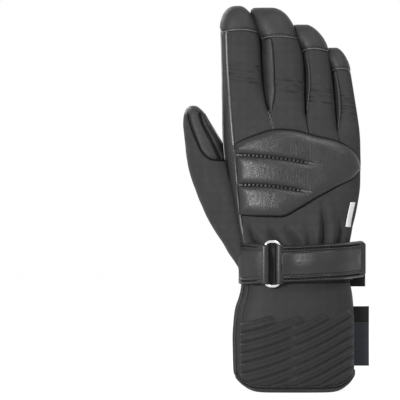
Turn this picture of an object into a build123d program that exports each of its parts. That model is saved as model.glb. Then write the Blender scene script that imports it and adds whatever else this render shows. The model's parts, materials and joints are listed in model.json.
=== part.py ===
"""Insulated ski glove for the right hand, standing on its cuff with the fingers up.

+X runs across the hand away from the thumb, -Y is the back of the hand, +Y the palm,
+Z runs from the cuff hem to the fingertips. Sizes are in millimetres.
"""
from build123d import *
import math
import os
from dataclasses import dataclass

# ---- layers, outside to inside ----
SHELL_T = 1.1
INSULATION_T = 1.8
LINING_T = 0.6
LAYER_GAP = 0.15
BODY_GAP = 0.3
SKIN_GAP = 0.05
INSULATION_IN = SHELL_T + LAYER_GAP
LINING_IN = INSULATION_IN + INSULATION_T + LAYER_GAP
WALL_T = LINING_IN + LINING_T

# ---- hand and cuff ----
HAND_LEFT = -39.6
CUFF_WIDTH = 88.0
CUFF_DEPTH = 54.0
CUFF_TOP = 76.0
WRIST_WIDTH = 83.0
WRIST_DEPTH = 44.0
WRIST_TOP = 112.0
WRIST_X = 13.5
HEEL_WIDTH = 91.0
HEEL_DEPTH = 43.0
HEEL_Z = 136.0
PALM_DEPTH = 39.0
PALM_Z = 165.0
KNUCKLE_DEPTH = 33.0
KNUCKLE_Z = 190.0
CORNER_SHARE = 0.47

# ---- fingers ----
FINGER_GAP = 0.6
ROOT_CLEAR = 0.4
FINGER_SINK = 16.0
BEND_ZONE = 12.0
TIP_SPLIT = 19.0
FOURCHETTE_W = 6.0


@dataclass
class Digit:
    """A finger or the thumb: a tapering oval tube with a domed tip."""

    name: str
    width: float
    tip_width: float
    depth: float
    length: float
    dome: float
    root_z: float
    lean: float
    sway: float
    y: float
    x: float = 0.0


FINGERS = [
    Digit("index", 31.4, 27.2, 27.0, 81.3, 21.0, 203.0, 2.6, 0.5, -1.0),
    Digit("middle", 28.6, 26.4, 27.5, 82.4, 25.0, 201.0, 4.0, 5.0, -1.5),
    Digit("ring", 22.0, 19.8, 25.0, 79.0, 21.0, 192.0, 4.4, 4.5, 0.0),
    Digit("little", 16.8, 15.4, 22.0, 72.0, 18.0, 182.0, 5.4, 2.6, 1.5),
]
for f, before in zip(FINGERS, [None] + FINGERS[:-1]):
    f.x = HAND_LEFT + f.width / 2
    if before:
        drift = (before.root_z - f.root_z) * math.tan(math.radians(before.lean))
        f.x = before.x + before.width / 2 + drift + FINGER_GAP + f.width / 2
KNUCKLE_WIDTH = FINGERS[-1].x + FINGERS[-1].width / 2 - HAND_LEFT

# ---- thumb: an oval spindle on a leaning axis, and the plane where it joins the hand ----
THUMB_BASE_X = -29.0
THUMB_BASE_Z = 112.0
THUMB_Y = 5.0
THUMB_LEAN = 19.0
THUMB_LENGTH = 104.5
THUMB_WIDTH = 36.5
THUMB_DEPTH = 30.0
THUMB_DOME = 46.0
THUMB_DOME_POWER = 1.6
THUMB_HEEL = 18.0
THUMB_HEEL_WIDTH = 15.0
THUMB_HEEL_DEPTH = 14.0
MOUTH_X = -27.0
MOUTH_Z = 112.0
MOUTH_LEAN = 11.6
MOUTH_ZONE = 9.0
MOUTH_PIVOT_Y = 8.0
WEB_TOP = 80.0
WEB_GAP = 1.2
COLLAR_RISE = 0.5

# ---- knuckle pad ----
PAD_LEATHER_T = 1.1
PAD_FOAM_T = 3.0
PAD_RIM = 1.5

# ---- cuff trim ----
HEM_TAPE_T = 0.8
HEM_TAPE_H = 7.0
HEM_FLAT = 32.0
HEM_RISE = 13.0
HEM_CLEAR = 0.2
GRIP_T = 0.8
FILM_T = 0.4
ELASTIC_T = 1.0
ELASTIC_H = 7.0
ELASTIC_Z = 68.0
FLAP_T = 2.0
FLAP_LOW = 13.0
FLAP_HIGH = 53.0
FLAP_LEFT = -24.0
FLAP_RIGHT = 45.0
PATCH_T = 0.7
LABEL_T = 0.8
LABEL_LOW = 18.0
LABEL_HIGH = 62.0
LABEL_REACH = 11.3
LOOP_T = 1.0
LOOP_H = 11.0
LOOP_GAP = 5.2
LOOP_REACH = 12.0
LOOP_Z = 76.5
LOOP_Y = 6.5

# ---- wrist strap and its buckle ring ----
STRAP_Z = 94.0
STRAP_T = 1.8
STRAP_H = 28.0
BASE_T = 1.6
BASE_H = 24.0
RING_WIRE = 2.4
RING_W = 13.3
RING_H = 35.0
RING_CORNER = 4.5
RING_X = -3.4
FOLD_CLEAR = 0.3
FOLD_T = 1.3
ANCHOR_H = 31.0
ANCHOR_LEFT = -27.0
TAB_FREE = 20.0
TAB_TURN = 50.0
TAB_END_R = 11.0

# ---- pair hook ----
HOOK_X = -14.0
HOOK_Z = 88.0
HOOK_WIRE = 2.0
HOOK_W = 12.0
HOOK_DROP = 13.0
HOOK_TAB_W = 6.0
HOOK_TAB_T = 1.0
HOOK_TAIL = 12.0

FAR = 400.0


def save(name, *solids):
    """Write one or more separate solids as one named node."""
    pieces = [s for part in solids for s in part.solids()]
    os.makedirs("parts", exist_ok=True)
    export_step(Compound(children=pieces), f"parts/{name}.step")


def slab(x0, x1, y0, y1, z0, z1):
    """A box between two corners."""
    return Pos((x0 + x1) / 2, (y0 + y1) / 2, (z0 + z1) / 2) * Box(x1 - x0, y1 - y0, z1 - z0)


def oval(width, depth, inset):
    """A rounded section of the hand or cuff, moved in from its skin by an inset."""
    return RectangleRounded(width - 2 * inset, depth - 2 * inset, CORNER_SHARE * depth - inset)


# ---- hand envelope ----
KNUCKLE_X = HAND_LEFT + KNUCKLE_WIDTH / 2
HAND_STATIONS = [
    (WRIST_TOP, WRIST_X, WRIST_WIDTH, WRIST_DEPTH),
    (HEEL_Z, WRIST_X + 1.0, HEEL_WIDTH, HEEL_DEPTH),
    (PALM_Z, (WRIST_X + KNUCKLE_X) / 2 + 1.0, (HEEL_WIDTH + KNUCKLE_WIDTH) / 2 + 1.0, PALM_DEPTH),
    (KNUCKLE_Z, KNUCKLE_X, KNUCKLE_WIDTH, KNUCKLE_DEPTH),
    (KNUCKLE_Z + 26.0, KNUCKLE_X, KNUCKLE_WIDTH, KNUCKLE_DEPTH - 4.0),
]


def palm_block(inset):
    """The hand from wrist to knuckles, stepped down from finger to finger at the top."""
    sections = [Pos(x, 0, z) * oval(w, d, inset) for z, x, w, d in HAND_STATIONS]
    wrist = Pos(WRIST_X, 0, CUFF_TOP) * extrude(oval(WRIST_WIDTH, WRIST_DEPTH, inset), WRIST_TOP - CUFF_TOP)
    block = loft(sections, ruled=True) + wrist
    for i, f in enumerate(FINGERS):
        left = -FAR if i == 0 else f.x - f.width / 2 - FINGER_GAP - 2.0 - inset
        block -= slab(left, FAR, -FAR, FAR, f.root_z - inset, FAR)
    return block


def cuff_block(inset):
    """The cuff from the hem up to the wrist."""
    low = Pos(WRIST_X, 0, -1) * oval(CUFF_WIDTH, CUFF_DEPTH, inset)
    mid = Pos(WRIST_X, 0, 0.55 * CUFF_TOP) * oval(CUFF_WIDTH, (CUFF_DEPTH + WRIST_DEPTH) / 2 + 2, inset)
    top = Pos(WRIST_X, 0, CUFF_TOP) * oval(WRIST_WIDTH, WRIST_DEPTH, inset)
    return loft([low, mid, top], ruled=True)


def finger_frame(f):
    """The finger's own frame: origin at its root, local +Z along the finger."""
    return Pos(f.x, f.y, f.root_z) * Rot(0, -f.lean, 0)


def finger_block(f, inset, low, high=FAR):
    """A finger's envelope in its own frame, from height low up to its domed tip or to height high."""
    dome_start = f.length - f.dome
    sections = []
    for t in (-FINGER_SINK / dome_start, 0, 0.5, 1):
        half = (f.width + (f.tip_width - f.width) * max(t, 0)) / 2 - inset
        sections.append((t * dome_start, half, f.depth / 2 - inset))
    for angle in (20, 38, 54, 68, 78, 84):
        rise = math.sin(math.radians(angle))
        shrink = math.cos(math.radians(angle))
        tip_half = (f.tip_width / 2 - inset) * shrink
        sections.append((dome_start + (f.dome - inset) * rise, tip_half, (f.depth / 2 - inset) * shrink))
    rings = [Pos(-f.sway * (max(h, 0) / f.length) ** 3, 0, h) * Ellipse(a, b) for h, a, b in sections]
    block = loft(rings, ruled=True)
    return block & slab(-FAR, FAR, -FAR, FAR, low, high)


def finger_stub(f, inset, top):
    """The stretch of a finger below its root, level at the top."""
    stub = finger_frame(f) * finger_block(f, inset, -FINGER_SINK, 30)
    return stub & slab(-FAR, FAR, -FAR, FAR, 0, f.root_z + top)


# ---- thumb envelope ----
THUMB_FRAME = Pos(THUMB_BASE_X, THUMB_Y, THUMB_BASE_Z) * Rot(0, -THUMB_LEAN, 0)
MOUTH_FRAME = Pos(MOUTH_X, MOUTH_PIVOT_Y, MOUTH_Z) * Rot(0, -MOUTH_LEAN, 0)


def thumb_block(inset):
    """The thumb's spindle, from its heel beside the wrist to its tip."""
    straight = THUMB_LENGTH - THUMB_DOME
    swell = [
        (-THUMB_HEEL, 0.0),
        (0.0, 0.62),
        (0.33 * straight, 0.90),
        (0.67 * straight, 1.0),
        (straight, 0.98),
    ]
    rings = []
    for h, share in swell:
        width = THUMB_HEEL_WIDTH + (THUMB_WIDTH - THUMB_HEEL_WIDTH) * share
        depth = THUMB_HEEL_DEPTH + (THUMB_DEPTH - THUMB_HEEL_DEPTH) * share
        rings.append(Pos(0, 0, h) * Ellipse(width / 2 - inset, depth / 2 - inset))
    for t in (0.22, 0.42, 0.6, 0.76, 0.88, 0.95, 0.985):
        share = (1 - t ** THUMB_DOME_POWER) ** (1 / THUMB_DOME_POWER)
        half_w = (THUMB_WIDTH / 2 - inset) * share
        half_d = (THUMB_DEPTH / 2 - inset) * share
        rings.append(Pos(0, 0, straight + (THUMB_DOME - inset) * t) * Ellipse(half_w, half_d))
    return THUMB_FRAME * loft(rings, ruled=True)


def mouth_side(start, stop):
    """The slab of space beside the hand between two distances from the thumb's joining plane."""
    return MOUTH_FRAME * slab(-stop, -start, -FAR, FAR, -FAR, FAR)


def below_web(gap=0.0):
    """The space below the top of the web between thumb and hand, square to the thumb's axis."""
    return THUMB_FRAME * slab(-FAR, FAR, -FAR, FAR, -FAR, WEB_TOP - gap)


def envelope(inset, bore_rise=0.0, thumb=True):
    """Hand, finger stubs and thumb collar as one body, moved in from its skin by an inset."""
    body = palm_block(inset)
    for f in FINGERS:
        body += finger_stub(f, inset, bore_rise)
    if thumb:
        body += thumb_block(inset) & mouth_side(-10, COLLAR_RISE + bore_rise) & below_web()
    return body


def hand_layer(outer, inner):
    """One layer of the hand between two insets."""
    return envelope(outer) - envelope(inner, 1.0)


def below_hem(lift):
    """The space under the hem's outline, which is level at mid width and rises to both sides."""
    left = WRIST_X - FAR / 4
    side = CUFF_WIDTH / 2
    points = [
        (WRIST_X - side - 3, HEM_RISE + lift),
        (WRIST_X - side * 0.75, HEM_RISE * 0.16 + lift),
        (WRIST_X - HEM_FLAT / 2, lift),
    ]
    left_curve = Spline(*points, tangents=[(0.35, -1), (1, 0)])
    outline = [
        Line((left, -FAR / 4), (left, HEM_RISE + lift)),
        Line((left, HEM_RISE + lift), points[0]),
        left_curve,
        Line(points[2], (WRIST_X, lift)),
        Line((WRIST_X, lift), (WRIST_X, -FAR / 4)),
        Line((WRIST_X, -FAR / 4), (left, -FAR / 4)),
    ]
    half = extrude(Plane.XZ * make_face(outline), FAR / 4, both=True)
    return half + mirror(half, Plane.YZ.offset(WRIST_X))


def outline_prism(curves, front):
    """An outline in X and Z swept through the back half (front=False) or the palm half of the space."""
    prism = extrude(Plane.XZ * make_face(curves), FAR / 4)
    return mirror(prism, Plane.XZ) if front else prism


def pad_outline(rim):
    """The knuckle pad's outline in X and Z, drawn in by a rim."""
    little = FINGERS[-1]
    ring = FINGERS[-2]
    left = (HAND_LEFT + 10.0 + rim, 181.0 - rim)
    tip = (HAND_LEFT + KNUCKLE_WIDTH - 5.0 - rim, 166.0)
    top = Spline(
        left,
        (-18.0, 187.5 - rim),
        (-2.0, 192.0 - rim),
        (14.0, 191.0 - rim),
        (ring.x - 3.0, ring.root_z - 5.5 - rim),
        (little.x - 8.0, little.root_z - 2.5 - rim),
        (little.x - 0.5 - rim, little.root_z - 8.0 - rim),
        tip,
    )
    bottom = Spline(
        tip,
        (53.5 - rim, 156.5 + rim),
        (43.0, 149.5 + rim),
        (29.0, 142.0 + rim),
        (15.5, 133.5 + rim),
        (5.0, 129.0 + rim),
    )
    corner = (-25.5 + rim, 129.5 + rim)
    foot = Line((5.0, 129.0 + rim), corner)
    side = Line(corner, left)
    return [top, bottom, foot, side]


def grip_outline():
    """The palm grip's outline in X and Z: a seam round the ball of the thumb and a slanting top."""
    top_left = (-33.0, 181.0)
    top_right = (36.0, 176.0)
    low_right = (36.0, WRIST_TOP - 20)
    low_left = (-11.0, WRIST_TOP - 20)
    seam_top = (-30.0, 168.0)
    thumb_seam = Spline(low_left, (-1.5, 105.0), (-0.5, 128.0), (-6.0, 142.0), (-18.0, 156.0), seam_top)
    return [
        Line(top_left, top_right),
        Line(top_right, low_right),
        Line(low_right, low_left),
        thumb_seam,
        Line(seam_top, top_left),
    ]


def make_hand():
    """The hand's shell panels, two sheets of insulation, lining, the knuckle pad and the palm grip."""
    fingers_clear = []
    for f in FINGERS:
        above_root = slab(-FAR, FAR, -FAR, FAR, f.root_z, FAR)
        fingers_clear.append(finger_frame(f) * finger_block(f, -ROOT_CLEAR, 0) & above_root)
    shell = hand_layer(0, SHELL_T)
    insulation = hand_layer(INSULATION_IN, INSULATION_IN + INSULATION_T)
    lining = hand_layer(LINING_IN, WALL_T)
    for clear in fingers_clear:
        shell -= clear
        insulation -= clear
    thumb_side = MOUTH_FRAME * slab(-FAR, 8.0, -FAR, FAR, -FAR, FAR) & below_web()
    back_half = slab(-FAR, FAR, -FAR, 0, 0, FAR)
    saddle = shell & thumb_side & slab(-FAR, FAR, -FAR, FAR, WRIST_TOP, FAR)
    body = shell - (thumb_side & slab(-FAR, FAR, -FAR, FAR, WRIST_TOP, FAR))
    save("hand_back_panel", body & back_half)
    save("hand_palm_panel", body - back_half)
    save("thumb_saddle_panel", saddle)
    side_seam = slab(-FAR, FAR, -LAYER_GAP / 2, LAYER_GAP / 2, 0, FAR)
    save("hand_insulation", insulation - side_seam)
    save("hand_lining", lining + make_cuff_lining())
    make_knuckle_pad()
    make_grip()


def make_knuckle_pad():
    """The quilted knuckle pad: a leather cover over foam."""
    skin = LAYER_GAP
    foam_top = skin + PAD_FOAM_T
    cover_top = foam_top + PAD_LEATHER_T
    under = palm_block(-skin)
    foam = (palm_block(-foam_top) - under) & outline_prism(pad_outline(PAD_RIM), False)
    room = palm_block(-foam_top - SKIN_GAP) & outline_prism(pad_outline(PAD_RIM - 2 * SKIN_GAP), False)
    cover = (palm_block(-cover_top) - under) & outline_prism(pad_outline(0), False)
    save("knuckle_pad_foam", foam)
    save("knuckle_pad_cover", cover - room)


def make_grip():
    """The textured grip on the palm."""
    sheet = palm_block(-GRIP_T - SKIN_GAP) - palm_block(-SKIN_GAP)
    save("palm_grip", sheet & outline_prism(grip_outline(), True))


def make_cuff_lining():
    """The lower end of the lining bag, down to the hem."""
    return cuff_block(LINING_IN) - cuff_block(WALL_T) - below_hem(HEM_TAPE_T + HEM_CLEAR)


def make_cuff():
    """The cuff's panels, insulation, lining, hem tape, elastic, flap, label and loop."""
    hem_room = below_hem(HEM_TAPE_T + HEM_CLEAR)
    shell = cuff_block(0) - cuff_block(SHELL_T) - hem_room
    back_half = slab(-FAR, FAR, -FAR, 0, -5, FAR)
    save("cuff_back_panel", shell & back_half)
    save("cuff_palm_panel", shell - back_half)
    insulation_inner = INSULATION_IN + INSULATION_T
    save("cuff_insulation", cuff_block(INSULATION_IN) - cuff_block(insulation_inner) - hem_room)
    tape = cuff_block(-HEM_TAPE_T) - cuff_block(WALL_T + HEM_TAPE_T)
    pocket = cuff_block(-HEM_CLEAR / 2) - cuff_block(WALL_T + HEM_CLEAR / 2) - below_hem(HEM_TAPE_T)
    tape = tape & (below_hem(HEM_TAPE_H) - below_hem(0))
    save("hem_tape", tape - pocket)
    make_elastic()
    make_flap()
    make_label()
    make_hanging_loop()


def make_elastic():
    """The raised elastic that gathers the palm side just below the wrist."""
    band = cuff_block(-ELASTIC_T - SKIN_GAP) - cuff_block(-SKIN_GAP)
    reach = WRIST_WIDTH / 2 - 3
    zone = slab(WRIST_X - reach, WRIST_X + reach, 8, FAR, ELASTIC_Z, ELASTIC_Z + ELASTIC_H)
    save("wrist_elastic", band & zone)


def cuff_patch(low, high, left, right, start, stop, palm=True):
    """A plate that follows the cuff between two heights, two X limits and two stand-offs."""
    plate = cuff_block(-stop) - cuff_block(-start)
    y0, y1 = (6, FAR) if palm else (-FAR, -6)
    return plate & slab(left, right, y0, y1, low, high)


def make_flap():
    """The closure flap over the palm side of the cuff, its hook patch, and the loop patches."""
    loop_low = 2 * SKIN_GAP
    loop_top = loop_low + PATCH_T
    hook_low = loop_top + BODY_GAP
    flap_low = hook_low + PATCH_T
    flap = cuff_patch(FLAP_LOW, FLAP_HIGH, FLAP_LEFT, FLAP_RIGHT, flap_low, flap_low + FLAP_T)
    hook = cuff_patch(FLAP_LOW + 6, FLAP_HIGH - 6, FLAP_RIGHT - 30, FLAP_RIGHT - 8, hook_low, flap_low)
    save("cuff_flap", flap)
    save("cuff_flap_hook_patch", hook)
    loop_left = FLAP_RIGHT - 46
    cuff_loop = cuff_patch(FLAP_LOW + 4, FLAP_HIGH - 4, loop_left, FLAP_RIGHT - 4, loop_low, loop_top)
    loop_start = RIGHT_BAR_X + FOLD_OUT + 4
    strap_loop = wrist_band(LOOP_PATCH_LOW, LOOP_PATCH_LOW + PATCH_T, loop_start, 42, BASE_H - 3)
    save("loop_patches", cuff_loop, strap_loop)


def make_label():
    """The bare tab sewn into the side seam of the cuff."""
    side = WRIST_X + CUFF_WIDTH / 2
    tab = slab(side - 4, side + LABEL_REACH, -LABEL_T / 2, LABEL_T / 2, LABEL_LOW, LABEL_HIGH)
    save("label_tab", tab - cuff_block(-2 * SKIN_GAP))


def make_hanging_loop():
    """The webbing loop at the far side of the wrist."""
    side = WRIST_X + WRIST_WIDTH / 2
    outer_w = LOOP_GAP + 2 * LOOP_T
    outer = Pos(side + LOOP_REACH / 2 - 5, LOOP_Y) * SlotOverall(LOOP_REACH + 10, outer_w)
    inner = Pos(side + LOOP_REACH / 2 - 5, LOOP_Y) * SlotOverall(LOOP_REACH + 10 - 2 * LOOP_T, LOOP_GAP)
    band = Pos(0, 0, LOOP_Z) * extrude(outer - inner, LOOP_H)
    save("hanging_loop", band - wrist_column(-2 * SKIN_GAP))


# ---- wrist strap ----
RING_Y = -(WRIST_DEPTH / 2 + BODY_GAP + FOLD_CLEAR + FOLD_T + RING_WIRE / 2)
BAR_REACH = (RING_W - RING_WIRE) / 2
LEFT_BAR_X = RING_X - BAR_REACH
RIGHT_BAR_X = RING_X + BAR_REACH
FOLD_IN = RING_WIRE / 2 + FOLD_CLEAR
FOLD_OUT = FOLD_IN + FOLD_T
BASE_LOW = 0.2
LOOP_PATCH_LOW = BASE_LOW + BASE_T + 2 * SKIN_GAP
HOOK_PATCH_LOW = LOOP_PATCH_LOW + PATCH_T + BODY_GAP
TAB_LOW = HOOK_PATCH_LOW + PATCH_T
CORNER_R = CORNER_SHARE * WRIST_DEPTH
CORNER_X = WRIST_X + WRIST_WIDTH / 2 - CORNER_R
CORNER_Y = -(WRIST_DEPTH / 2 - CORNER_R)


def wrist_column(inset):
    """The wrist's section, from below the cuff's top to above the strap."""
    section = oval(WRIST_WIDTH, WRIST_DEPTH, inset)
    return Pos(WRIST_X, 0, CUFF_TOP - 10) * extrude(section, WRIST_TOP - CUFF_TOP + 20)


def wrist_band(start, stop, left, turn, height):
    """A band on the back of the wrist from X = left to an angle round the far corner."""
    ring = wrist_column(-stop) - wrist_column(-start)
    flat = slab(left, CORNER_X, -FAR, 0, STRAP_Z - height / 2, STRAP_Z + height / 2)
    wedge_face = make_face(Polyline((0, 0), (0, -60), (60, -60), (60, 0), close=True))
    if turn < 90:
        reach = 90 / math.cos(math.radians(45))
        angles = [math.radians(a) for a in (0, turn / 2, turn)]
        rim = [(reach * math.sin(a), -reach * math.cos(a)) for a in angles]
        wedge_face = make_face(Polyline((0, 0), *rim, close=True))
    wedge = Pos(CORNER_X, CORNER_Y, STRAP_Z - height / 2) * extrude(wedge_face, height)
    return ring & (flat + wedge)


def fold(bar_x, height):
    """A sewn fold of webbing round one bar of the ring."""
    rolled = Circle(FOLD_OUT) - Circle(FOLD_IN)
    return Pos(bar_x, RING_Y, STRAP_Z - height / 2) * extrude(rolled, height)


def bar_room(bar_x):
    """The round space that one bar of the ring turns in."""
    return Pos(bar_x, RING_Y, STRAP_Z - FAR / 4) * extrude(Circle(FOLD_IN), FAR / 2)


def make_strap():
    """The strap's sewn anchor, ring, base strap, patches and opening tab."""
    fold_h = RING_H - 2 * RING_WIRE - 2 * RING_CORNER
    anchor = wrist_column(-BASE_LOW - BASE_T) - wrist_column(-BASE_LOW)
    reach = LEFT_BAR_X + 0.5
    anchor &= slab(ANCHOR_LEFT, reach, -FAR, 4, STRAP_Z - ANCHOR_H / 2, STRAP_Z + ANCHOR_H / 2)
    notch = slab(LEFT_BAR_X - FOLD_OUT - 1, FAR, -FAR, FAR, STRAP_Z + fold_h / 2, FAR)
    notch += slab(LEFT_BAR_X - FOLD_OUT - 1, FAR, -FAR, FAR, -FAR, STRAP_Z - fold_h / 2)
    save("strap_anchor", anchor - notch + fold(LEFT_BAR_X, fold_h) - bar_room(LEFT_BAR_X))
    make_ring()
    save("strap_base", wrist_band(BASE_LOW, BASE_LOW + BASE_T, RIGHT_BAR_X + FOLD_OUT + 1.5, 88, BASE_H))
    loop_start = RIGHT_BAR_X + FOLD_OUT + 4
    save("strap_hook_patch", wrist_band(HOOK_PATCH_LOW, TAB_LOW, loop_start + 4, TAB_TURN - 10, BASE_H - 4))
    make_strap_tab(fold_h)


def make_ring():
    """The metal buckle ring, a round wire bent to a tall rounded rectangle."""
    path = RectangleRounded(RING_W - RING_WIRE, RING_H - RING_WIRE, RING_CORNER).wire()
    path = Plane.XZ * path
    start = path @ 0
    profile = Plane(origin=start, z_dir=path % 0) * Circle(RING_WIRE / 2)
    ring = sweep(profile, path=path)
    save("buckle_ring", Pos(RING_X, RING_Y, STRAP_Z) * ring)


def make_strap_tab(fold_h):
    """The strap tab: a fold round the ring's far bar, a band round the wrist and a free rounded end."""
    band = wrist_band(TAB_LOW, TAB_LOW + STRAP_T, RIGHT_BAR_X, TAB_TURN, STRAP_H)
    neck = slab(-FAR, RIGHT_BAR_X + FOLD_OUT + 2, -FAR, FAR, STRAP_Z + fold_h / 2, FAR)
    neck += slab(-FAR, RIGHT_BAR_X + FOLD_OUT + 2, -FAR, FAR, -FAR, STRAP_Z - fold_h / 2)
    turn = math.radians(TAB_TURN)
    radius = CORNER_R + TAB_LOW + STRAP_T / 2
    tip_x = CORNER_X + radius * math.sin(turn)
    tip_y = CORNER_Y - radius * math.cos(turn)
    end_face = Rectangle(TAB_FREE, STRAP_H, align=(Align.MIN, Align.CENTER))
    end_face = fillet(end_face.vertices().group_by(Axis.X)[-1], TAB_END_R)
    end = extrude(end_face, STRAP_T / 2, both=True)
    end_plane = Plane(
        origin=(tip_x, tip_y, STRAP_Z),
        x_dir=(math.cos(turn), math.sin(turn), 0),
        z_dir=(math.sin(turn), -math.cos(turn), 0),
    )
    turned = band - neck + fold(RIGHT_BAR_X, fold_h) - bar_room(RIGHT_BAR_X)
    save("strap_tab", turned + end_plane * end)


def make_pair_hook():
    """The metal hook that clips the two gloves together, hanging from a webbing tab at the wrist."""
    y = WRIST_DEPTH / 2 + BODY_GAP + HOOK_TAB_T + BODY_GAP + HOOK_WIRE / 2
    r_in = HOOK_WIRE / 2 + BODY_GAP
    rolled = Plane.YZ * (Circle(r_in + HOOK_TAB_T) - Circle(r_in))
    tab = Pos(HOOK_X - HOOK_TAB_W / 2, y, HOOK_Z) * extrude(rolled, HOOK_TAB_W)
    tab_left = HOOK_X - HOOK_TAB_W / 2
    tail_y = y - r_in - HOOK_TAB_T
    tail = slab(tab_left, tab_left + HOOK_TAB_W, tail_y, tail_y + HOOK_TAB_T, HOOK_Z, HOOK_Z + HOOK_TAIL)
    save("pair_hook_tab", tab + tail)
    half = HOOK_W / 2
    low = HOOK_Z - HOOK_DROP
    bar = extrude(Plane.YZ * Circle(HOOK_WIRE / 2), HOOK_W)
    hook = Pos(HOOK_X - half, y, HOOK_Z) * bar
    side = HOOK_WIRE / 2
    for x in (HOOK_X - half, HOOK_X + half):
        hook += slab(x - side, x + side, y - side, y + side, low, HOOK_Z + side)
    hook += slab(HOOK_X - half, HOOK_X - 2.2, y - side, y + side, low - side, low + side)
    hook += slab(HOOK_X + 2.2, HOOK_X + half, y - side, y + side, low - side, low + side)
    hook += slab(HOOK_X - side, HOOK_X + side, y - side, y + side, low + 3, HOOK_Z - 5)
    hook += slab(HOOK_X - half, HOOK_X + half, y - side, y + side, HOOK_Z - 6, HOOK_Z - 4)
    save("pair_hook", hook)


def make_reflective_strip():
    """A plain reflective strip on the far side of the hand's back."""
    points = [(50.0, 121.0), (53.4, 121.0), (57.5, 139.0), (54.1, 139.0)]
    film = palm_block(-SKIN_GAP - FILM_T) - palm_block(-SKIN_GAP)
    save("reflective_strip", film & outline_prism(Polyline(*points, close=True), False))


def make_finger(f):
    """One finger: its shell panels, side walls, tip cap, insulation, lining and bend zone."""
    frame = finger_frame(f)
    low = BEND_ZONE
    outer = finger_block(f, 0, low)
    insulation_inner = INSULATION_IN + INSULATION_T
    shell = outer - finger_block(f, SHELL_T, low - 1)
    insulation = finger_block(f, INSULATION_IN, low) - finger_block(f, insulation_inner, low - 1)
    lining = finger_block(f, LINING_IN, low) - finger_block(f, WALL_T, low - 1)
    split_z = f.length - TIP_SPLIT
    tip = slab(-FAR, FAR, -FAR, FOURCHETTE_W / 2, split_z, FAR)
    back = slab(-FAR, FAR, -FAR, -FOURCHETTE_W / 2, -FAR, split_z)
    palm = slab(-FAR, FAR, FOURCHETTE_W / 2, FAR, -FAR, FAR)
    save(f"{f.name}_back_panel", frame * (shell & back))
    save(f"{f.name}_palm_panel", frame * (shell & palm))
    save(f"{f.name}_tip_cap", frame * (shell & tip))
    save(f"{f.name}_side_walls", frame * (shell - back - palm - tip))
    save(f"{f.name}_insulation", frame * insulation)
    save(f"{f.name}_lining", frame * lining)
    start = f.root_z + LAYER_GAP
    zone = finger_block(f, 0, -FINGER_SINK, low - LAYER_GAP) - finger_block(f, WALL_T, -FINGER_SINK, low + 1)
    save(f"{f.name}_bend_zone", (frame * zone) & slab(-FAR, FAR, -FAR, FAR, start, FAR))


def make_thumb():
    """The thumb: back panel, palm panel, tip cap, insulation, lining and the bend zone beside the hand."""
    cut = mouth_side(-FAR, MOUTH_ZONE + COLLAR_RISE) & below_web(-WEB_GAP)
    insulation_inner = INSULATION_IN + INSULATION_T
    shell = thumb_block(0) - thumb_block(SHELL_T) - cut
    insulation = thumb_block(INSULATION_IN) - thumb_block(insulation_inner) - cut
    lining = thumb_block(LINING_IN) - thumb_block(WALL_T) - cut
    tip = THUMB_FRAME * slab(-FAR, FAR, -FAR, FAR, THUMB_LENGTH - TIP_SPLIT, FAR)
    palm = slab(-FAR, FAR, THUMB_Y, FAR, -FAR, FAR)
    save("thumb_back_panel", shell - palm - tip)
    save("thumb_palm_panel", (shell & palm) - tip)
    save("thumb_tip_cap", shell & tip)
    save("thumb_insulation", insulation)
    save("thumb_lining", lining)
    wall = thumb_block(0) - thumb_block(WALL_T)
    zone = mouth_side(COLLAR_RISE + LAYER_GAP, MOUTH_ZONE + COLLAR_RISE - LAYER_GAP)
    wall &= zone & below_web(LAYER_GAP)
    save("thumb_bend_zone", wall - palm_block(-LAYER_GAP) - cuff_block(-LAYER_GAP))


make_hand()
make_cuff()
make_strap()
make_pair_hook()
make_reflective_strip()
for finger in FINGERS:
    make_finger(finger)
make_thumb()
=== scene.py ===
"""Dressed model of an insulated ski glove for the right hand, standing on its cuff hem.

+X runs across the hand away from the thumb, -Y is the back of the hand, +Y the palm, +Z goes up to the
fingertips. Shapes are worked out in millimetres and turned to metres where a mesh is made.
"""
import json
import math
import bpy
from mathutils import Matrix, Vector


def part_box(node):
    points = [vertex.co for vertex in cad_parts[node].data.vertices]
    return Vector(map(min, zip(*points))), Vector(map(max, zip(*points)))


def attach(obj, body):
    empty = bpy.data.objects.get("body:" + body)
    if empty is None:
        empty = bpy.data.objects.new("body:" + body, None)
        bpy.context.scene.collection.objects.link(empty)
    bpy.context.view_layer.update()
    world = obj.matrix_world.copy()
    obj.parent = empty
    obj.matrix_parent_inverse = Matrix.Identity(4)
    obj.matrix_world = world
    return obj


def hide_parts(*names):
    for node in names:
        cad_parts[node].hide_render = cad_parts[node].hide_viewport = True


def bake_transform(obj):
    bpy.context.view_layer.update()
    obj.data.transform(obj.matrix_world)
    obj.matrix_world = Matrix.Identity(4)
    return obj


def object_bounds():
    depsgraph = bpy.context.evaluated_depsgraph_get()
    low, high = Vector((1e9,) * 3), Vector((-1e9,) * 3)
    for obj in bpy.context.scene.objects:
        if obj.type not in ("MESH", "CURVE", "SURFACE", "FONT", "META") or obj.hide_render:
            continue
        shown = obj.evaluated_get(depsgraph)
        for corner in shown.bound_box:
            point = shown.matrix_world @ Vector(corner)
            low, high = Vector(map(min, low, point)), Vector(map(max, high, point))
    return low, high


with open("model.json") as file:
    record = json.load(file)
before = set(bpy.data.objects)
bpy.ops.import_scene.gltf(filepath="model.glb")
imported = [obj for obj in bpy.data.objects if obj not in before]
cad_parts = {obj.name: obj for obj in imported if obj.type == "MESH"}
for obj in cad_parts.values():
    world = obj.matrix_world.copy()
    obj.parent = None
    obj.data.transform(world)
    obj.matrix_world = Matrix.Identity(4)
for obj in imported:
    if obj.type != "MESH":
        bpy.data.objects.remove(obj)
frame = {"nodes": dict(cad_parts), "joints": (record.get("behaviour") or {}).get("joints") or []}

from types import SimpleNamespace

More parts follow.
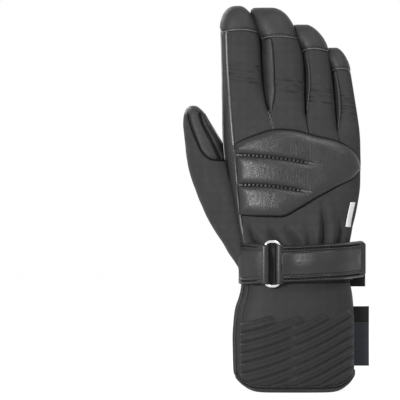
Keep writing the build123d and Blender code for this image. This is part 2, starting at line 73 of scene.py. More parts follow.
import bmesh
import bpy
import numpy as np
from bpy.props import FloatProperty, FloatVectorProperty, IntProperty, PointerProperty
from mathutils import Vector, noise

CAD_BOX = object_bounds()

bl_info = {
    "name": "Ski glove",
    "version": (1, 0, 0),
    "blender": (4, 5, 0),
    "location": "View3D > Sidebar > Glove",
    "description": "Builds a dressed ski glove round its packed frame",
    "category": "Object",
}

MM = 0.001


def linear(hex_colour):
    """An sRGB hex colour as linear red, green and blue."""
    parts = [int(hex_colour[i:i + 2], 16) / 255 for i in (1, 3, 5)]
    return tuple(p / 12.92 if p <= 0.04045 else ((p + 0.055) / 1.055) ** 2.4 for p in parts)


# ---------------------------------------------------------------- sizes and colours
def length(name, millimetres, description):
    """A length property, shown in the scene's units."""
    return FloatProperty(name=name, description=description, default=millimetres * MM, min=0.0, unit="LENGTH")


def colour(name, hex_colour, description):
    """A colour property, given as an sRGB hex value."""
    return FloatVectorProperty(name=name, description=description, default=linear(hex_colour),
                               min=0.0, max=1.0, size=3, subtype="COLOR")


class GloveSizes(bpy.types.PropertyGroup):
    """Sizes of the sewn work that a maker would change."""

    shell: length("Shell thickness", 1.0, "Thickness of the outer panels")
    seam_width: length("Seam width", 2.2, "How far from a seam a panel starts to roll down")
    seam_depth: length("Seam depth", 1.3, "How deep a panel's edge sinks into its seam")
    piping: length("Piping radius", 0.95, "Radius of the corded piping")
    quilt: length("Quilt height", 4.4, "How high the knuckle pad's channels stand")
    rib: length("Rib height", 1.9, "How high the cuff's embossed ribs stand")
    rib_pitch: length("Rib pitch", 7.35, "Distance between the cuff's ribs at its thumb edge")
    rib_count: IntProperty(name="Ribs", description="Number of embossed ribs", default=13, min=1)
    fold: length("Fold depth", 3.8, "Depth of the folds that the wrist strap gathers")


class GloveColours(bpy.types.PropertyGroup):
    """Base colours of the glove's materials."""

    softshell: colour("Softshell", "#373738", "Woven shell of the back")
    palm: colour("Palm leather", "#272728", "Drummed goat leather of palm, fingertips and thumb")
    pad: colour("Pad leather", "#242425", "Finished leather of the knuckle pad")
    strap: colour("Strap leather", "#1a1a1b", "Coated leather of the wrist strap")
    cuff: colour("Cuff fabric", "#29292a", "Embossed neoprene laminate of the cuff")
    grip: colour("Grip", "#1c1c1d", "Rubberised patch of the palm")
    dots: colour("Grip dots", "#8d8e90", "Silicone dots of the grip")
    webbing: colour("Webbing", "#1a1a1b", "Woven tape, hem and loops")
    label: colour("Label", "#2a2d33", "Satin label cloth")
    lining: colour("Lining", "#38393b", "Brushed fleece lining")
    # the piping colour is lighter than the leather the cords are made of: a painted highlight along each cord
    piping: colour("Piping", "#525254", "Leather-covered cord between panels")
    thread: colour("Thread", "#0f0f10", "Bonded nylon sewing thread")


def size(name):
    """One of the glove's sizes, in millimetres."""
    return getattr(bpy.context.scene.glove_sizes, name) / MM


def box(node):
    """The lowest and the highest corner of a frame node's box, in millimetres."""
    return [SimpleNamespace(x=c.x / MM, y=c.y / MM, z=c.z / MM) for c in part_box(node)]


def joint(name):
    """A joint of the frame."""
    return next(j for j in frame["joints"] if j["name"] == name)


# ---------------------------------------------------------------- curves and fields
def ease(t):
    """0 to 1 with a smooth start and stop."""
    t = np.clip(t, 0.0, 1.0)
    return t * t * (3 - 2 * t)


def bell(gap, width):
    """1 in the middle of a bead or groove, falling off round it over a width."""
    return np.exp(-(gap / width) ** 2)


def dome(share):
    """0 at a share of 0 and 1 at a share of 1, along a quarter of a circle."""
    return 1 - np.sqrt(np.clip(1 - share ** 2, 0.0, 1.0))


def unit(vectors):
    """Vectors brought to a length of one."""
    return vectors / np.maximum(np.linalg.norm(vectors, axis=-1, keepdims=True), 1e-9)


def run_along(points, axis=0):
    """How far each point lies from its line's start, measured along the line."""
    steps = np.linalg.norm(np.diff(points, axis=axis), axis=-1)
    return np.concatenate([np.zeros_like(steps.take([0], axis=axis)), np.cumsum(steps, axis=axis)], axis=axis)


def signed_power(value, power):
    """A power that keeps the value's sign."""
    return np.sign(value) * np.abs(value) ** power


def through(at, knots):
    """A smooth curve's value at a position, through (position, value) knots."""
    xs, ys = np.array(knots, float).T
    slope = np.gradient(ys, xs)
    i = np.clip(np.searchsorted(xs, at) - 1, 0, len(xs) - 2)
    span = xs[i + 1] - xs[i]
    t = np.clip((at - xs[i]) / span, 0.0, 1.0)
    bend = span * (slope[i] * t * (1 - t) ** 2 - slope[i + 1] * t * t * (1 - t))
    return ys[i] + (ys[i + 1] - ys[i]) * ease(t) + bend


def smooth_line(points, count=40):
    """Evenly spread points on a smooth curve through a few points."""
    points = np.array(points, float)
    run = run_along(points)
    at = np.linspace(0.0, run[-1], count)
    return np.stack([through(at, list(zip(run, values))) for values in points.T], axis=-1)


def line_gap(x, z, line):
    """Distance from each place to a polyline, and how far along the polyline its nearest point is, 0 to 1."""
    best = np.full(np.shape(x), 1e9)
    along = np.zeros(np.shape(x))
    pieces = len(line) - 1
    for i in range(pieces):
        (ax, az), (bx, bz) = line[i], line[i + 1]
        run = (bx - ax) ** 2 + (bz - az) ** 2 + 1e-12
        t = np.clip(((x - ax) * (bx - ax) + (z - az) * (bz - az)) / run, 0.0, 1.0)
        gap = np.hypot(x - ax - t * (bx - ax), z - az - t * (bz - az))
        nearer = gap < best
        best = np.where(nearer, gap, best)
        along = np.where(nearer, (i + t) / pieces, along)
    return best, along


def inside(x, z, outline):
    """True where a place is inside a closed outline."""
    result = np.zeros(np.shape(x), bool)
    last = outline[-1]
    for here in outline:
        crosses = (here[1] > z) != (last[1] > z)
        at = (last[0] - here[0]) * (z - here[1]) / (last[1] - here[1] + 1e-12) + here[0]
        result ^= crosses & (x < at)
        last = here
    return result


def crumple(points, pitch, seed=0.0):
    """Soft uneven heights, from -1 to 1, with bumps about one pitch across."""
    places = points.reshape(-1, 3) / pitch + seed
    return np.array([noise.noise(p) for p in places.tolist()]).reshape(points.shape[:-1])


# how unevenly each panel lies: the height, pitch and seed of each layer of bumps
UNEVEN = {
    "hand_back": ((0.5, 22.0, 4.0), (0.25, 9.0, 7.0)),
    "side_strip": ((0.3, 15.0, 2.0),),
    "palm": ((0.4, 16.0, 9.0),),
    "finger": ((0.35, 26.0, 3.0),),
    "thumb": ((0.5, 20.0, 3.0), (0.25, 8.0, 8.0)),
    "cuff_back": ((0.35, 24.0, 2.0),),
    "cuff_palm": ((0.35, 20.0, 5.0),),
    "flap": ((0.3, 14.0, 3.0),),
    "lining": ((0.5, 12.0, 11.0),),
}


def uneven(points, panel):
    """The soft unevenness of a panel's cloth or leather."""
    return sum(height * crumple(points, pitch, seed) for height, pitch, seed in UNEVEN[panel])


# ---------------------------------------------------------------- meshes
def grid_normals(points, closed=False):
    """Unit normals of a grid of points, from its own neighbours."""
    if closed:
        along = np.roll(points, -1, axis=1) - np.roll(points, 1, axis=1)
    else:
        along = np.gradient(points, axis=1)
    return unit(np.cross(along, np.gradient(points, axis=0)))


def lift(points, height, closed=False):
    """A grid moved out along its normals."""
    return points + grid_normals(points, closed) * np.asarray(height)[..., None]


def grid_faces(rows, columns, closed=False):
    """Quads of a grid, with the last column joined to the first where it is closed."""
    index = np.arange(rows * columns).reshape(rows, columns)
    if closed:
        index = np.concatenate([index, index[:, :1]], axis=1)
    quads = np.stack([index[:-1, :-1], index[:-1, 1:], index[1:, 1:], index[1:, :-1]], axis=-1)
    return quads.reshape(-1, 4)


# width and depth of the rolled edge of a thin panel
THIN_EDGE = (1.6, 0.9)


def edge_roll(points, sides, width=None, depth=None):
    """Negative heights that roll a panel's edges down into its seams. Sides are left, right, low and high."""
    width = width or size("seam_width")
    depth = depth or size("seam_depth")
    across, up = run_along(points, 1), run_along(points, 0)
    gaps = {"left": across, "right": across[:, -1:] - across, "low": up, "high": up[-1:] - up}
    drop = np.zeros(points.shape[:2])
    for side in sides:
        share = np.clip(1 - gaps[side] / width, 0.0, 1.0)
        drop = np.maximum(drop, dome(share))
    return -depth * drop


def make_piece(name, verts, faces, finish, thickness=0.0):
    """A smooth mesh object from points in millimetres. A sheet gets its thickness on its inner side."""
    mesh = bpy.data.meshes.new(name)
    if isinstance(faces, np.ndarray):
        faces = faces.tolist()
    mesh.from_pydata((np.asarray(verts, float) * MM).tolist(), [], faces)
    work = bmesh.new()
    work.from_mesh(mesh)
    bmesh.ops.remove_doubles(work, verts=work.verts, dist=1e-7)
    bmesh.ops.dissolve_degenerate(work, edges=work.edges, dist=1e-7)
    work.to_mesh(mesh)
    work.free()
    mesh.shade_smooth()
    obj = bpy.data.objects.new(name, mesh)
    bpy.context.scene.collection.objects.link(obj)
    mesh.materials.append(MATERIALS[finish])
    if thickness:
        solid = obj.modifiers.new("Thickness", "SOLIDIFY")
        solid.thickness = thickness * MM
        solid.offset = -1.0
    return obj


def make_panel(name, points, finish, closed=False, thickness=None, flip=False, keep=None):
    """A panel from a grid of points. Keep picks faces by their middle, where only some are wanted."""
    rows, columns = points.shape[:2]
    faces = grid_faces(rows, columns, closed)
    verts = points.reshape(-1, 3)
    if keep is not None:
        faces = faces[keep(verts[faces].mean(axis=1))]
        used, faces = np.unique(faces, return_inverse=True)
        faces = faces.reshape(-1, 4)
        verts = verts[used]
    if flip:
        faces = faces[:, ::-1]
    return make_piece(name, verts, faces, finish, size("shell") if thickness is None else thickness)


def join_shapes(shapes):
    """Several (points, faces) shapes as one."""
    verts, faces, start = [], [], 0
    for points, quads in shapes:
        verts.append(points)
        faces.extend([[i + start for i in face] for face in quads])
        start += len(points)
    return np.concatenate(verts), faces


# a direction that no rod of the glove runs along
ROD_SIDE = (0.31, 0.9, 0.29)


def rod(path, radius, sides=8, flat=1.0, taper=0.0):
    """A round or flattened rod along points, closed at both ends. Taper draws its ends in, as on a stitch."""
    path = np.asarray(path, float)
    along = unit(np.gradient(path, axis=0))
    side = unit(np.cross(along, ROD_SIDE))
    up = np.cross(side, along)
    turns = np.linspace(0.0, 2 * math.pi, sides, endpoint=False)
    scale = np.ones(len(path))
    if taper:
        scale = np.clip(np.sin(np.linspace(0.0, math.pi, len(path))) * 1.3 + taper, taper, 1.0)
    ring = np.cos(turns)[None, :, None] * side[:, None] + flat * np.sin(turns)[None, :, None] * up[:, None]
    verts = (path[:, None] + radius * scale[:, None, None] * ring).reshape(-1, 3)
    faces = grid_faces(len(path), sides, True)[:, ::-1].tolist()
    last = (len(path) - 1) * sides
    faces.append(list(range(sides)))
    faces.append([last + i for i in reversed(range(sides))])
    return verts, faces


def stitches(path, pitch, long, radius):
    """Shapes of separate stitches that follow a path."""
    path = np.asarray(path, float)
    run = run_along(path)
    shapes = []
    for start in np.arange(pitch / 2, run[-1] - pitch / 2, pitch):
        at = np.linspace(start - long / 2, start + long / 2, 5)
        line = np.stack([np.interp(at, run, values) for values in path.T], axis=-1)
        shapes.append(rod(line, radius, 6, taper=0.35))
    return shapes


def dress(nodes=()):
    """Hide the CAD nodes that a piece stands for."""
    if nodes:
        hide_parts(*nodes)


def fit(obj, body, slot, *nodes):
    """The piece rides on a body and stands for CAD nodes, which are hidden. The slot is not used."""
    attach(obj, body)
    dress(nodes)


def fit_shapes(name, shapes, finish, body, slot=None, *nodes):
    """Several shapes as one piece that rides on a body."""
    fit(make_piece(name, *join_shapes(shapes), finish), body, slot, *nodes)


def paint(node, finish):
    """Give a CAD node that stays in view its procedural finish."""
    mesh = frame["nodes"][node].data
    mesh.materials.clear()
    mesh.materials.append(MATERIALS[finish])


# ---------------------------------------------------------------- materials
MATERIALS = {}


def add_node(tree, kind, settings=None, links=None):
    """Add a node, set its inputs and properties by name, and link its inputs."""
    node = tree.nodes.new(kind)
    for key, value in (settings or {}).items():
        if isinstance(key, int) or key in node.inputs:
            node.inputs[key].default_value = value
        else:
            setattr(node, key, value)
    for key, socket in (links or {}).items():
        tree.links.new(socket, node.inputs[key])
    return node


def new_material(name, shader_settings):
    """A material with a Principled shader, and what its pattern nodes start from."""
    material = bpy.data.materials.new(name)
    material.use_nodes = True
    tree = material.node_tree
    tree.nodes.clear()
    shader = add_node(tree, "ShaderNodeBsdfPrincipled", shader_settings)
    add_node(tree, "ShaderNodeOutputMaterial", links={"Surface": shader.outputs[0]})
    place = add_node(tree, "ShaderNodeTexCoord").outputs["Object"]
    return SimpleNamespace(material=material, tree=tree, shader=shader, place=place)


def per_metre(millimetres):
    """A texture scale that repeats about once in so many millimetres."""
    return 1 / (millimetres * MM)


def shade(made, base, factor, low=0.8, high=1.2, start=0.3, stop=0.7):
    """The base colour, darker where the factor is low and lighter where it is high."""
    ramp = add_node(made.tree, "ShaderNodeMapRange",
                    {"From Min": start, "From Max": stop, "To Min": 0.0, "To Max": 1.0}, {"Value": factor})
    dark = tuple(c * low for c in base) + (1.0,)
    light = tuple(min(c * high, 1.0) for c in base) + (1.0,)
    mix = add_node(made.tree, "ShaderNodeMix", {"data_type": "RGBA", 6: dark, 7: light},
                   {0: ramp.outputs[0]})
    made.tree.links.new(mix.outputs[2], made.shader.inputs["Base Color"])


def emboss(made, height, strength, distance, below=None):
    """A bump on the shader from a height, over an earlier bump."""
    links = {"Height": height}
    if below:
        links["Normal"] = below.outputs[0]
    bump = add_node(made.tree, "ShaderNodeBump", {"Strength": strength, "Distance": distance * MM}, links)
    made.tree.links.new(bump.outputs[0], made.shader.inputs["Normal"])
    return bump


def weave(made, thread):
    """Heights of a plain weave with a thread spacing in millimetres."""
    waves = []
    for direction in ("X", "Z"):
        wave = add_node(made.tree, "ShaderNodeTexWave",
                        {"Scale": per_metre(thread) / 20, "Distortion": 0.6, "Detail": 1.0,
                         "bands_direction": direction}, {"Vector": made.place})
        waves.append(wave.outputs["Fac"])
    both = add_node(made.tree, "ShaderNodeMath", {"operation": "MULTIPLY"}, {0: waves[0], 1: waves[1]})
    return both.outputs[0]


def cloth(name, key, thread, rough, sheen, depth, patches=14.0, contrast=0.12, shine=0.12):
    """A woven or knitted cloth: thread relief, uneven dye and a soft sheen."""
    base = tuple(getattr(bpy.context.scene.glove_colours, key))
    made = new_material(name, {"Roughness": rough, "Sheen Weight": sheen, "Sheen Roughness": 0.5,
                               "Specular IOR Level": shine})
    threads = weave(made, thread)
    fuzz = add_node(made.tree, "ShaderNodeTexNoise", {"Scale": per_metre(thread * 2.5), "Detail": 3.0},
                    {"Vector": made.place})
    uneven = add_node(made.tree, "ShaderNodeTexNoise", {"Scale": per_metre(patches), "Detail": 2.0},
                      {"Vector": made.place})
    both = add_node(made.tree, "ShaderNodeMath", {"operation": "ADD"},
                    {0: threads, 1: fuzz.outputs["Fac"]})
    spread = add_node(made.tree, "ShaderNodeMath", {"operation": "MULTIPLY_ADD", 1: 0.35},
                      {0: both.outputs[0], 2: uneven.outputs["Fac"]})
    shade(made, base, spread.outputs[0], 1 - contrast, 1 + contrast, 0.55, 1.15)
    below = emboss(made, threads, 0.5, depth)
    emboss(made, fuzz.outputs["Fac"], 0.35, depth * 1.5, below)
    MATERIALS[key] = made.material


def leather(name, key, grain, rough, coat, depth, contrast=0.14, shine=0.5):
    """A grained leather: cells with creases between, pores, and worn lighter high spots."""
    base = tuple(getattr(bpy.context.scene.glove_colours, key))
    made = new_material(name, {"Roughness": rough, "Coat Weight": coat, "Coat Roughness": 0.25,
                               "Specular IOR Level": shine})
    warp = add_node(made.tree, "ShaderNodeTexNoise", {"Scale": per_metre(grain * 3), "Detail": 2.0},
                    {"Vector": made.place})
    moved = add_node(made.tree, "ShaderNodeMix", {"data_type": "VECTOR", 0: 0.0015},
                     {4: made.place, 5: warp.outputs["Color"]})
    cells = add_node(made.tree, "ShaderNodeTexVoronoi",
                     {"Scale": per_metre(grain), "feature": "DISTANCE_TO_EDGE"}, {"Vector": moved.outputs[1]})
    creases = add_node(made.tree, "ShaderNodeMapRange",
                       {"From Min": 0.0, "From Max": 0.22, "To Min": 0.0, "To Max": 1.0},
                       {"Value": cells.outputs["Distance"]})
    broad = add_node(made.tree, "ShaderNodeTexNoise", {"Scale": per_metre(grain * 7), "Detail": 4.0},
                     {"Vector": made.place})
    tone = add_node(made.tree, "ShaderNodeMath", {"operation": "MULTIPLY_ADD", 1: 0.25},
                    {0: creases.outputs[0], 2: broad.outputs["Fac"]})
    shade(made, base, tone.outputs[0], 1 - contrast, 1 + contrast, 0.4, 0.95)
    rub = add_node(made.tree, "ShaderNodeMapRange",
                   {"From Min": 0.3, "From Max": 0.7, "To Min": rough - 0.07, "To Max": rough + 0.09},
                   {"Value": broad.outputs["Fac"]})
    made.tree.links.new(rub.outputs[0], made.shader.inputs["Roughness"])
    below = emboss(made, creases.outputs[0], 0.55, depth)
    emboss(made, broad.outputs["Fac"], 0.3, depth * 2.5, below)
    MATERIALS[key] = made.material


def make_materials():
    """Every material of the glove, each named for what it is and how its surface was made."""
    # Real threads lie well under 1 mm apart and leather's grain is finer too. Both are drawn coarser, from
    # 0.8 to 2.2 mm, so that they show.
    # Woven polyester softshell: matt and even, with a fine weave and a faint sheen at its edges.
    cloth("Woven softshell", "softshell", 1.1, 0.8, 0.05, 0.10, contrast=0.10)
    # Neoprene laminate under knitted nylon: darker than the shell, a fine knit, a dull shine on its ribs.
    cloth("Embossed neoprene", "cuff", 1.2, 0.58, 0.05, 0.10, contrast=0.10, shine=0.2)
    # Woven nylon webbing: hard-wearing, darker, with a coarse rib.
    cloth("Woven webbing", "webbing", 1.5, 0.6, 0.05, 0.25)
    # Brushed fleece: very matt and fuzzy.
    cloth("Brushed fleece", "lining", 2.2, 0.95, 0.4, 0.4, contrast=0.25)
    # Satin label cloth: close weave with a slight gloss.
    cloth("Satin label cloth", "label", 0.9, 0.45, 0.05, 0.05, contrast=0.06, shine=0.2)
    # Drummed goat leather: small soft grain and a dull sheen.
    leather("Drummed goat leather", "palm", 1.5, 0.46, 0.0, 0.16, shine=0.32)
    # Finished leather: smoother, with a wax shine that breaks on the quilting.
    leather("Finished pad leather", "pad", 1.2, 0.33, 0.0, 0.09, contrast=0.10, shine=0.42)
    # Coated cord leather: smooth and tight over its cord, so it catches a bright line of light. Its colour is
    # set lighter than the palm leather, a painted highlight along each cord over the leather's own dark tone.
    leather("Coated piping leather", "piping", 0.9, 0.32, 0.3, 0.03, contrast=0.06)
    # Coated leather: glossy film over a fine print.
    leather("Coated strap leather", "strap", 1.1, 0.34, 0.12, 0.05, contrast=0.10, shine=0.42)
    # Rubberised synthetic suede: dead black between its dots.
    cloth("Rubberised grip", "grip", 1.3, 0.7, 0.05, 0.15)
    # Moulded silicone dots: pale and slightly shiny.
    leather("Moulded silicone dots", "dots", 1.0, 0.42, 0.0, 0.02, contrast=0.2)
    # Bonded nylon thread: twisted, black and matt against the leather.
    cloth("Bonded nylon thread", "thread", 0.8, 0.6, 0.0, 0.1, shine=0.05)
    make_chrome()
    make_hook_and_loop()
    make_reflective()


def make_chrome():
    """Chrome plate on bent steel wire: mirror bright with faint polishing marks."""
    made = new_material("Polished chrome plate", {"Base Color": linear("#d9dadc") + (1.0,), "Metallic": 1.0,
                                                  "Roughness": 0.14})
    marks = add_node(made.tree, "ShaderNodeTexNoise", {"Scale": per_metre(2.0), "Detail": 4.0},
                     {"Vector": made.place})
    rub = add_node(made.tree, "ShaderNodeMapRange", {"To Min": 0.08, "To Max": 0.24},
                   {"Value": marks.outputs["Fac"]})
    made.tree.links.new(rub.outputs[0], made.shader.inputs["Roughness"])
    emboss(made, marks.outputs["Fac"], 0.15, 0.03)
    MATERIALS["chrome"] = made.material


def make_hook_and_loop():
    """Nylon hook and loop tape: a dense pile of tiny hooks that scatter light."""
    made = new_material("Hook and loop pile", {"Roughness": 0.85, "Sheen Weight": 0.3})
    pile = add_node(made.tree, "ShaderNodeTexVoronoi", {"Scale": per_metre(1.2), "Randomness": 0.5},
                    {"Vector": made.place})
    shade(made, linear("#29292a"), pile.outputs["Distance"], 0.6, 1.6, 0.1, 0.7)
    emboss(made, pile.outputs["Distance"], 0.9, 0.4)
    MATERIALS["hook_and_loop"] = made.material


def make_reflective():
    """Glass-bead reflective film: pale silver grey with a fine grit."""
    made = new_material("Glass-bead reflective film", {"Roughness": 0.5, "Metallic": 0.2})
    beads = add_node(made.tree, "ShaderNodeTexVoronoi", {"Scale": per_metre(0.5)}, {"Vector": made.place})
    shade(made, linear("#dfe1e2"), beads.outputs["Distance"], 0.9, 1.05)
    emboss(made, beads.outputs["Distance"], 0.2, 0.05)
    MATERIALS["reflective"] = made.material


# ---------------------------------------------------------------- oval tubes
NEARLY_ONE = 0.9995
SMALL_STEP = 1e-3


def oval_skin(section, power, theta, z):
    """A point of an oval tube's skin. Theta is 0 at the far edge, a quarter turn at the palm."""
    theta, z = np.broadcast_arrays(theta, z)
    mid, half, depth = section(z)
    x = mid + half * signed_power(np.cos(theta), 2 / power)
    y = depth * signed_power(np.sin(theta), 2 / power)
    return np.stack([x, y, z], axis=-1)


def oval_angle(section, power, x, z, palm):
    """The angle at which an oval tube's skin passes a place, on the palm or on the back."""
    mid, half, _ = section(z)
    share = np.clip((x - mid) / half, -NEARLY_ONE, NEARLY_ONE)
    angle = np.arccos(signed_power(share, power / 2))
    return angle if palm else -angle


def on_oval(skin, angle, z, height):
    """A point over a skin, standing off by a height."""
    here = skin(angle, z)
    normal = unit(np.cross(skin(angle + SMALL_STEP, z) - here, skin(angle, z + SMALL_STEP) - here))
    return here + normal * (np.zeros(z.shape) + height)[..., None]


# ---------------------------------------------------------------- the hand's own surface
HAND_POWER = 2.6
# the hand's outline: X of its thumb-side and far edges, and half its depth, by height
HAND_LEFT_EDGE = [(76, -27.5), (90, -27.5), (112, -29.5), (136, -33.5), (160, -37.0), (182, -39.2),
                  (216, -39.9)]
HAND_RIGHT_EDGE = [(76, 54.5), (95, 53.5), (112, 54.2), (122, 56.8), (131, 59.0), (141, 61.0), (165, 62.6),
                   (194, 61.6), (216, 60.0)]
HAND_HALF_DEPTH = [(76, 22.0), (100, 22.0), (118, 22.6), (136, 22.0), (165, 19.5), (190, 16.8), (216, 14.5)]
CUT_Z = 170.0
HAND_LOW = 79.0


def hand_section(z):
    """The hand's middle, half width and half depth at a height."""
    left, right = through(z, HAND_LEFT_EDGE), through(z, HAND_RIGHT_EDGE)
    return (left + right) / 2, (right - left) / 2, through(z, HAND_HALF_DEPTH)


def hand_skin(theta, z):
    """A point of the hand's skin. Theta is 0 at the far edge, a quarter turn at the palm."""
    return oval_skin(hand_section, HAND_POWER, theta, z)


def hand_depth_at(x, z):
    """How far the hand's skin stands from its middle plane at a place."""
    mid, half, depth = hand_section(z)
    share = np.clip(np.abs((x - mid) / half), 0.0, 1.0)
    return depth * (1 - share ** HAND_POWER) ** (1 / HAND_POWER)


def on_hand(x, z, palm=False, height=0.0):
    """A point over the hand's skin at a place, standing off by a height."""
    x, z = np.broadcast_arrays(np.asarray(x, float), np.asarray(z, float))
    return on_oval(hand_skin, oval_angle(hand_section, HAND_POWER, x, z, palm), z, height)


PIPING_LINE = [(HAND_LOW, -23.0), (113, -23.6), (119, -25.0), (132, -26.8), (141, -27.9), (156, -28.9),
               (175, -30.8), (187, -32.0), (213, -34.0), (241, -35.8), (262, -36.6), (275, -36.8)]


# ---------------------------------------------------------------- fingers
FINGER_POWER = 2.3
BOX_POWER = 8.0
DOME_POWER = 2.4
WALL_GAP = -0.35
CROTCH_FADE = 9.0
# a finger's side leaves the hand from this far below its crotch, over this height
FREE_BELOW = 8.0
FREE_REACH = 26.0
# its back and palm leave the hand's section from this far below its crotches, over this height
ROUND_BELOW = 12.0
ROUND_REACH = 40.0
# the height at which the panels of neighbouring fingers part, on the left and on the right
PARTING = {
    "index": (203.0, 207.0),
    "middle": (207.0, 205.0),
    "ring": (205.0, 194.0),
    "little": (194.0, 179.0),
}
TIP_TUCK = 2.6
FINGER_CUTS = {
    # name: width, tip width, depth, dome, sway, y, crotch left and right, bluntness of the tip left and right
    "index": (31.4, 28.0, 27.0, 22.0, 0.8, -1.0, 203.0, 207.0, 1.0, 0.6),
    "middle": (28.6, 28.0, 27.5, 26.0, 5.0, -1.5, 207.0, 197.0, 0.3, 1.0),
    "ring": (22.6, 21.0, 25.0, 22.0, 4.5, 0.0, 197.0, 183.0, 0.2, 1.7),
    "little": (18.0, 14.4, 22.5, 19.0, 2.6, 1.5, 183.0, 179.0, 0.3, 1.6),
}
# how far the plane between a finger and the next one bows away from the thumb, by height
WALL_BOW = {
    "index": [(170, 5.2), (192, 5.2), (205, 2.8), (212, 1.0), (222, 0.0), (241, 0.0), (265, 0.7), (272, -0.4),
              (278, -2.6), (284, -6.0)],
    "middle": [(197, 0.0), (213, 0.8), (232, 2.8), (251, 3.3), (262, 1.7), (284, 0.0)],
    "ring": [(190, 0.0), (232, 1.4), (250, 1.3), (272, 1.0)],
}
# how far the back panel's seams run inside the finger's walls on the left and on the right, by height
BACK_SEAMS = {
    "index": (None, [(170, 0.05), (200, 0.05), (210, 1.2), (250, 2.0), (265, 2.6), (284, 3.0)]),
    "middle": ([(170, 0.05), (200, 0.05), (208, 3.6), (214, 6.6), (232, 8.8), (251, 8.6), (262, 7.0),
                (271, 4.3), (284, 1.6)],
               [(170, 0.05), (200, 0.05), (208, 0.8), (284, 1.3)]),
    "ring": ([(170, 0.05), (200, 0.05), (208, 1.8), (214, 3.0), (222, 3.6), (236, 3.6), (250, 2.6),
              (272, 1.8)],
             [(170, 0.05), (188, 0.05), (196, 0.8), (272, 1.3)]),
    "little": ([(170, 0.05), (186, 0.1), (195, 2.2), (205, 4.0), (218, 4.6), (232, 3.4), (255, 2.0)],
               [(170, 0.7), (255, 1.0)]),
}
CAP_PALM = 7.5
CAP_ARCH = 8.5
PALM_SEAM_WIDTH = 3.2
PALM_SEAM_IN = [(170, 3.0), (200, 3.4), (284, 3.2)]
KNUCKLE_CREASE = {"index": 234.0, "middle": 227.0, "ring": 219.0, "little": 211.0}
CREASE_DEPTH = 1.35
CREASE_PITCH = 2.6
PIVOT_RISE = 6.0
# where the cap's seam lies on the back, as a share of the dome
CAP_BACK_SHARE = 0.86
# how far above the hand's cut a finger's walls reach their full shape
ROOT_FADE = 8.0


def read_fingers():
    """The fingers, placed by their joints and tops in the frame."""
    fingers = []
    for name, cut in FINGER_CUTS.items():
        bend = joint(name + "_bend")
        px, _, pz = [v / MM for v in bend["pos_m"]]
        lean = math.asin(-bend["axis"][2])
        root = pz - PIVOT_RISE * math.cos(lean)
        top = box(name + "_tip_cap")[1].z
        fingers.append(SimpleNamespace(
            name=name, width=cut[0], tip_width=cut[1], depth=cut[2], dome=cut[3], sway=cut[4], y=cut[5],
            left_crotch=cut[6], right_crotch=cut[7], left_blunt=cut[8], right_blunt=cut[9],
            lean=lean, root_z=root, x=px + PIVOT_RISE * math.sin(lean), top=top, length=top - root,
            outer_left=False, outer_right=False))
    for one, other in zip(fingers, fingers[1:]):
        one.right_wall = other.left_wall = (one, other)
    fingers[0].outer_left = fingers[-1].outer_right = True
    return fingers


def finger_mid(f, z):
    """The finger's middle line in X."""
    rise = z - f.root_z
    return f.x - rise * math.tan(f.lean) - f.sway * (np.clip(rise, 0, None) / f.length) ** 3


def wall_between(one, other, z):
    """The plane where two neighbouring fingers meet."""
    edges = finger_mid(one, z) + one.width / 2 + finger_mid(other, z) - other.width / 2
    return edges / 2 + through(z, WALL_BOW[one.name])


def finger_sides(f, z):
    """The finger's middle, and for each side its reach, its section's power and if it is an outer side."""
    mid = finger_mid(f, z)
    share = np.clip((z - f.root_z) / (f.length - f.dome), 0.0, 1.0)
    half = (f.width + (f.tip_width - f.width) * share) / 2
    hand_mid, hand_half, _ = hand_section(z)
    sides = []
    for left in (True, False):
        outer = f.outer_left if left else f.outer_right
        free = ease((z - (f.left_crotch if left else f.right_crotch) + FREE_BELOW) / FREE_REACH)
        if outer:
            edge = (mid - hand_mid if left else hand_mid - mid) + hand_half
            reach = edge + (half - edge) * free
        else:
            wall = wall_between(*(f.left_wall if left else f.right_wall), z)
            reach = (mid - wall if left else wall - mid) - WALL_GAP
            reach = reach + TIP_TUCK * left * ease((z - f.top + f.dome) / 12.0)
        low_power = HAND_POWER if outer else BOX_POWER
        sides.append((reach, low_power + (FINGER_POWER - low_power) * free, outer))
    return mid, sides[0], sides[1]


def finger_skin(f, theta, z):
    """A point of a finger's skin: a slice of the hand at its root, and a domed oval tube further up."""
    theta, z = np.broadcast_arrays(theta, z)
    mid, (left_reach, left_power, left_outer), (right_reach, right_power, right_outer) = finger_sides(f, z)
    tip_share = np.clip((z - f.top + f.dome) / f.dome, 0.0, 1.0)
    shrink = (1 - tip_share ** DOME_POWER) ** (1 / DOME_POWER)
    c, s = np.cos(theta), np.sin(theta)
    left = c < 0
    reach = np.where(left, left_reach * shrink ** f.left_blunt, right_reach * shrink ** f.right_blunt)
    power = np.where(left, left_power, right_power)
    outer = np.where(left, left_outer, right_outer)
    x = mid + reach * signed_power(c, 2 / power)
    crotch = np.where(left, *PARTING[f.name])
    parted = ease((z - crotch + CROTCH_FADE) / CROTCH_FADE)
    rounding = np.where(outer, np.minimum(1.0, 8 * np.abs(s)), np.abs(s) ** (2 / BOX_POWER * parted))
    low_y = np.sign(s) * hand_depth_at(x, z) * rounding
    high_y = f.y + f.depth / 2 * shrink * signed_power(s, 2 / FINGER_POWER)
    up = ease((z - (f.left_crotch + f.right_crotch) / 2 + ROUND_BELOW) / ROUND_REACH)
    return np.stack([x, low_y + (high_y - low_y) * up, z], axis=-1)


def seam_angle(f, z, left, line, palm=False):
    """The angle of a seam that runs so far inside one wall of a finger, by height."""
    reach, power, _ = finger_sides(f, z)[1 if left else 2]
    share = np.clip(1 - through(z, line) / reach, 0.02, 0.995)
    angle = np.arccos(share ** (power / 2))
    if palm:
        return math.pi - angle if left else angle
    return angle - math.pi if left else -angle


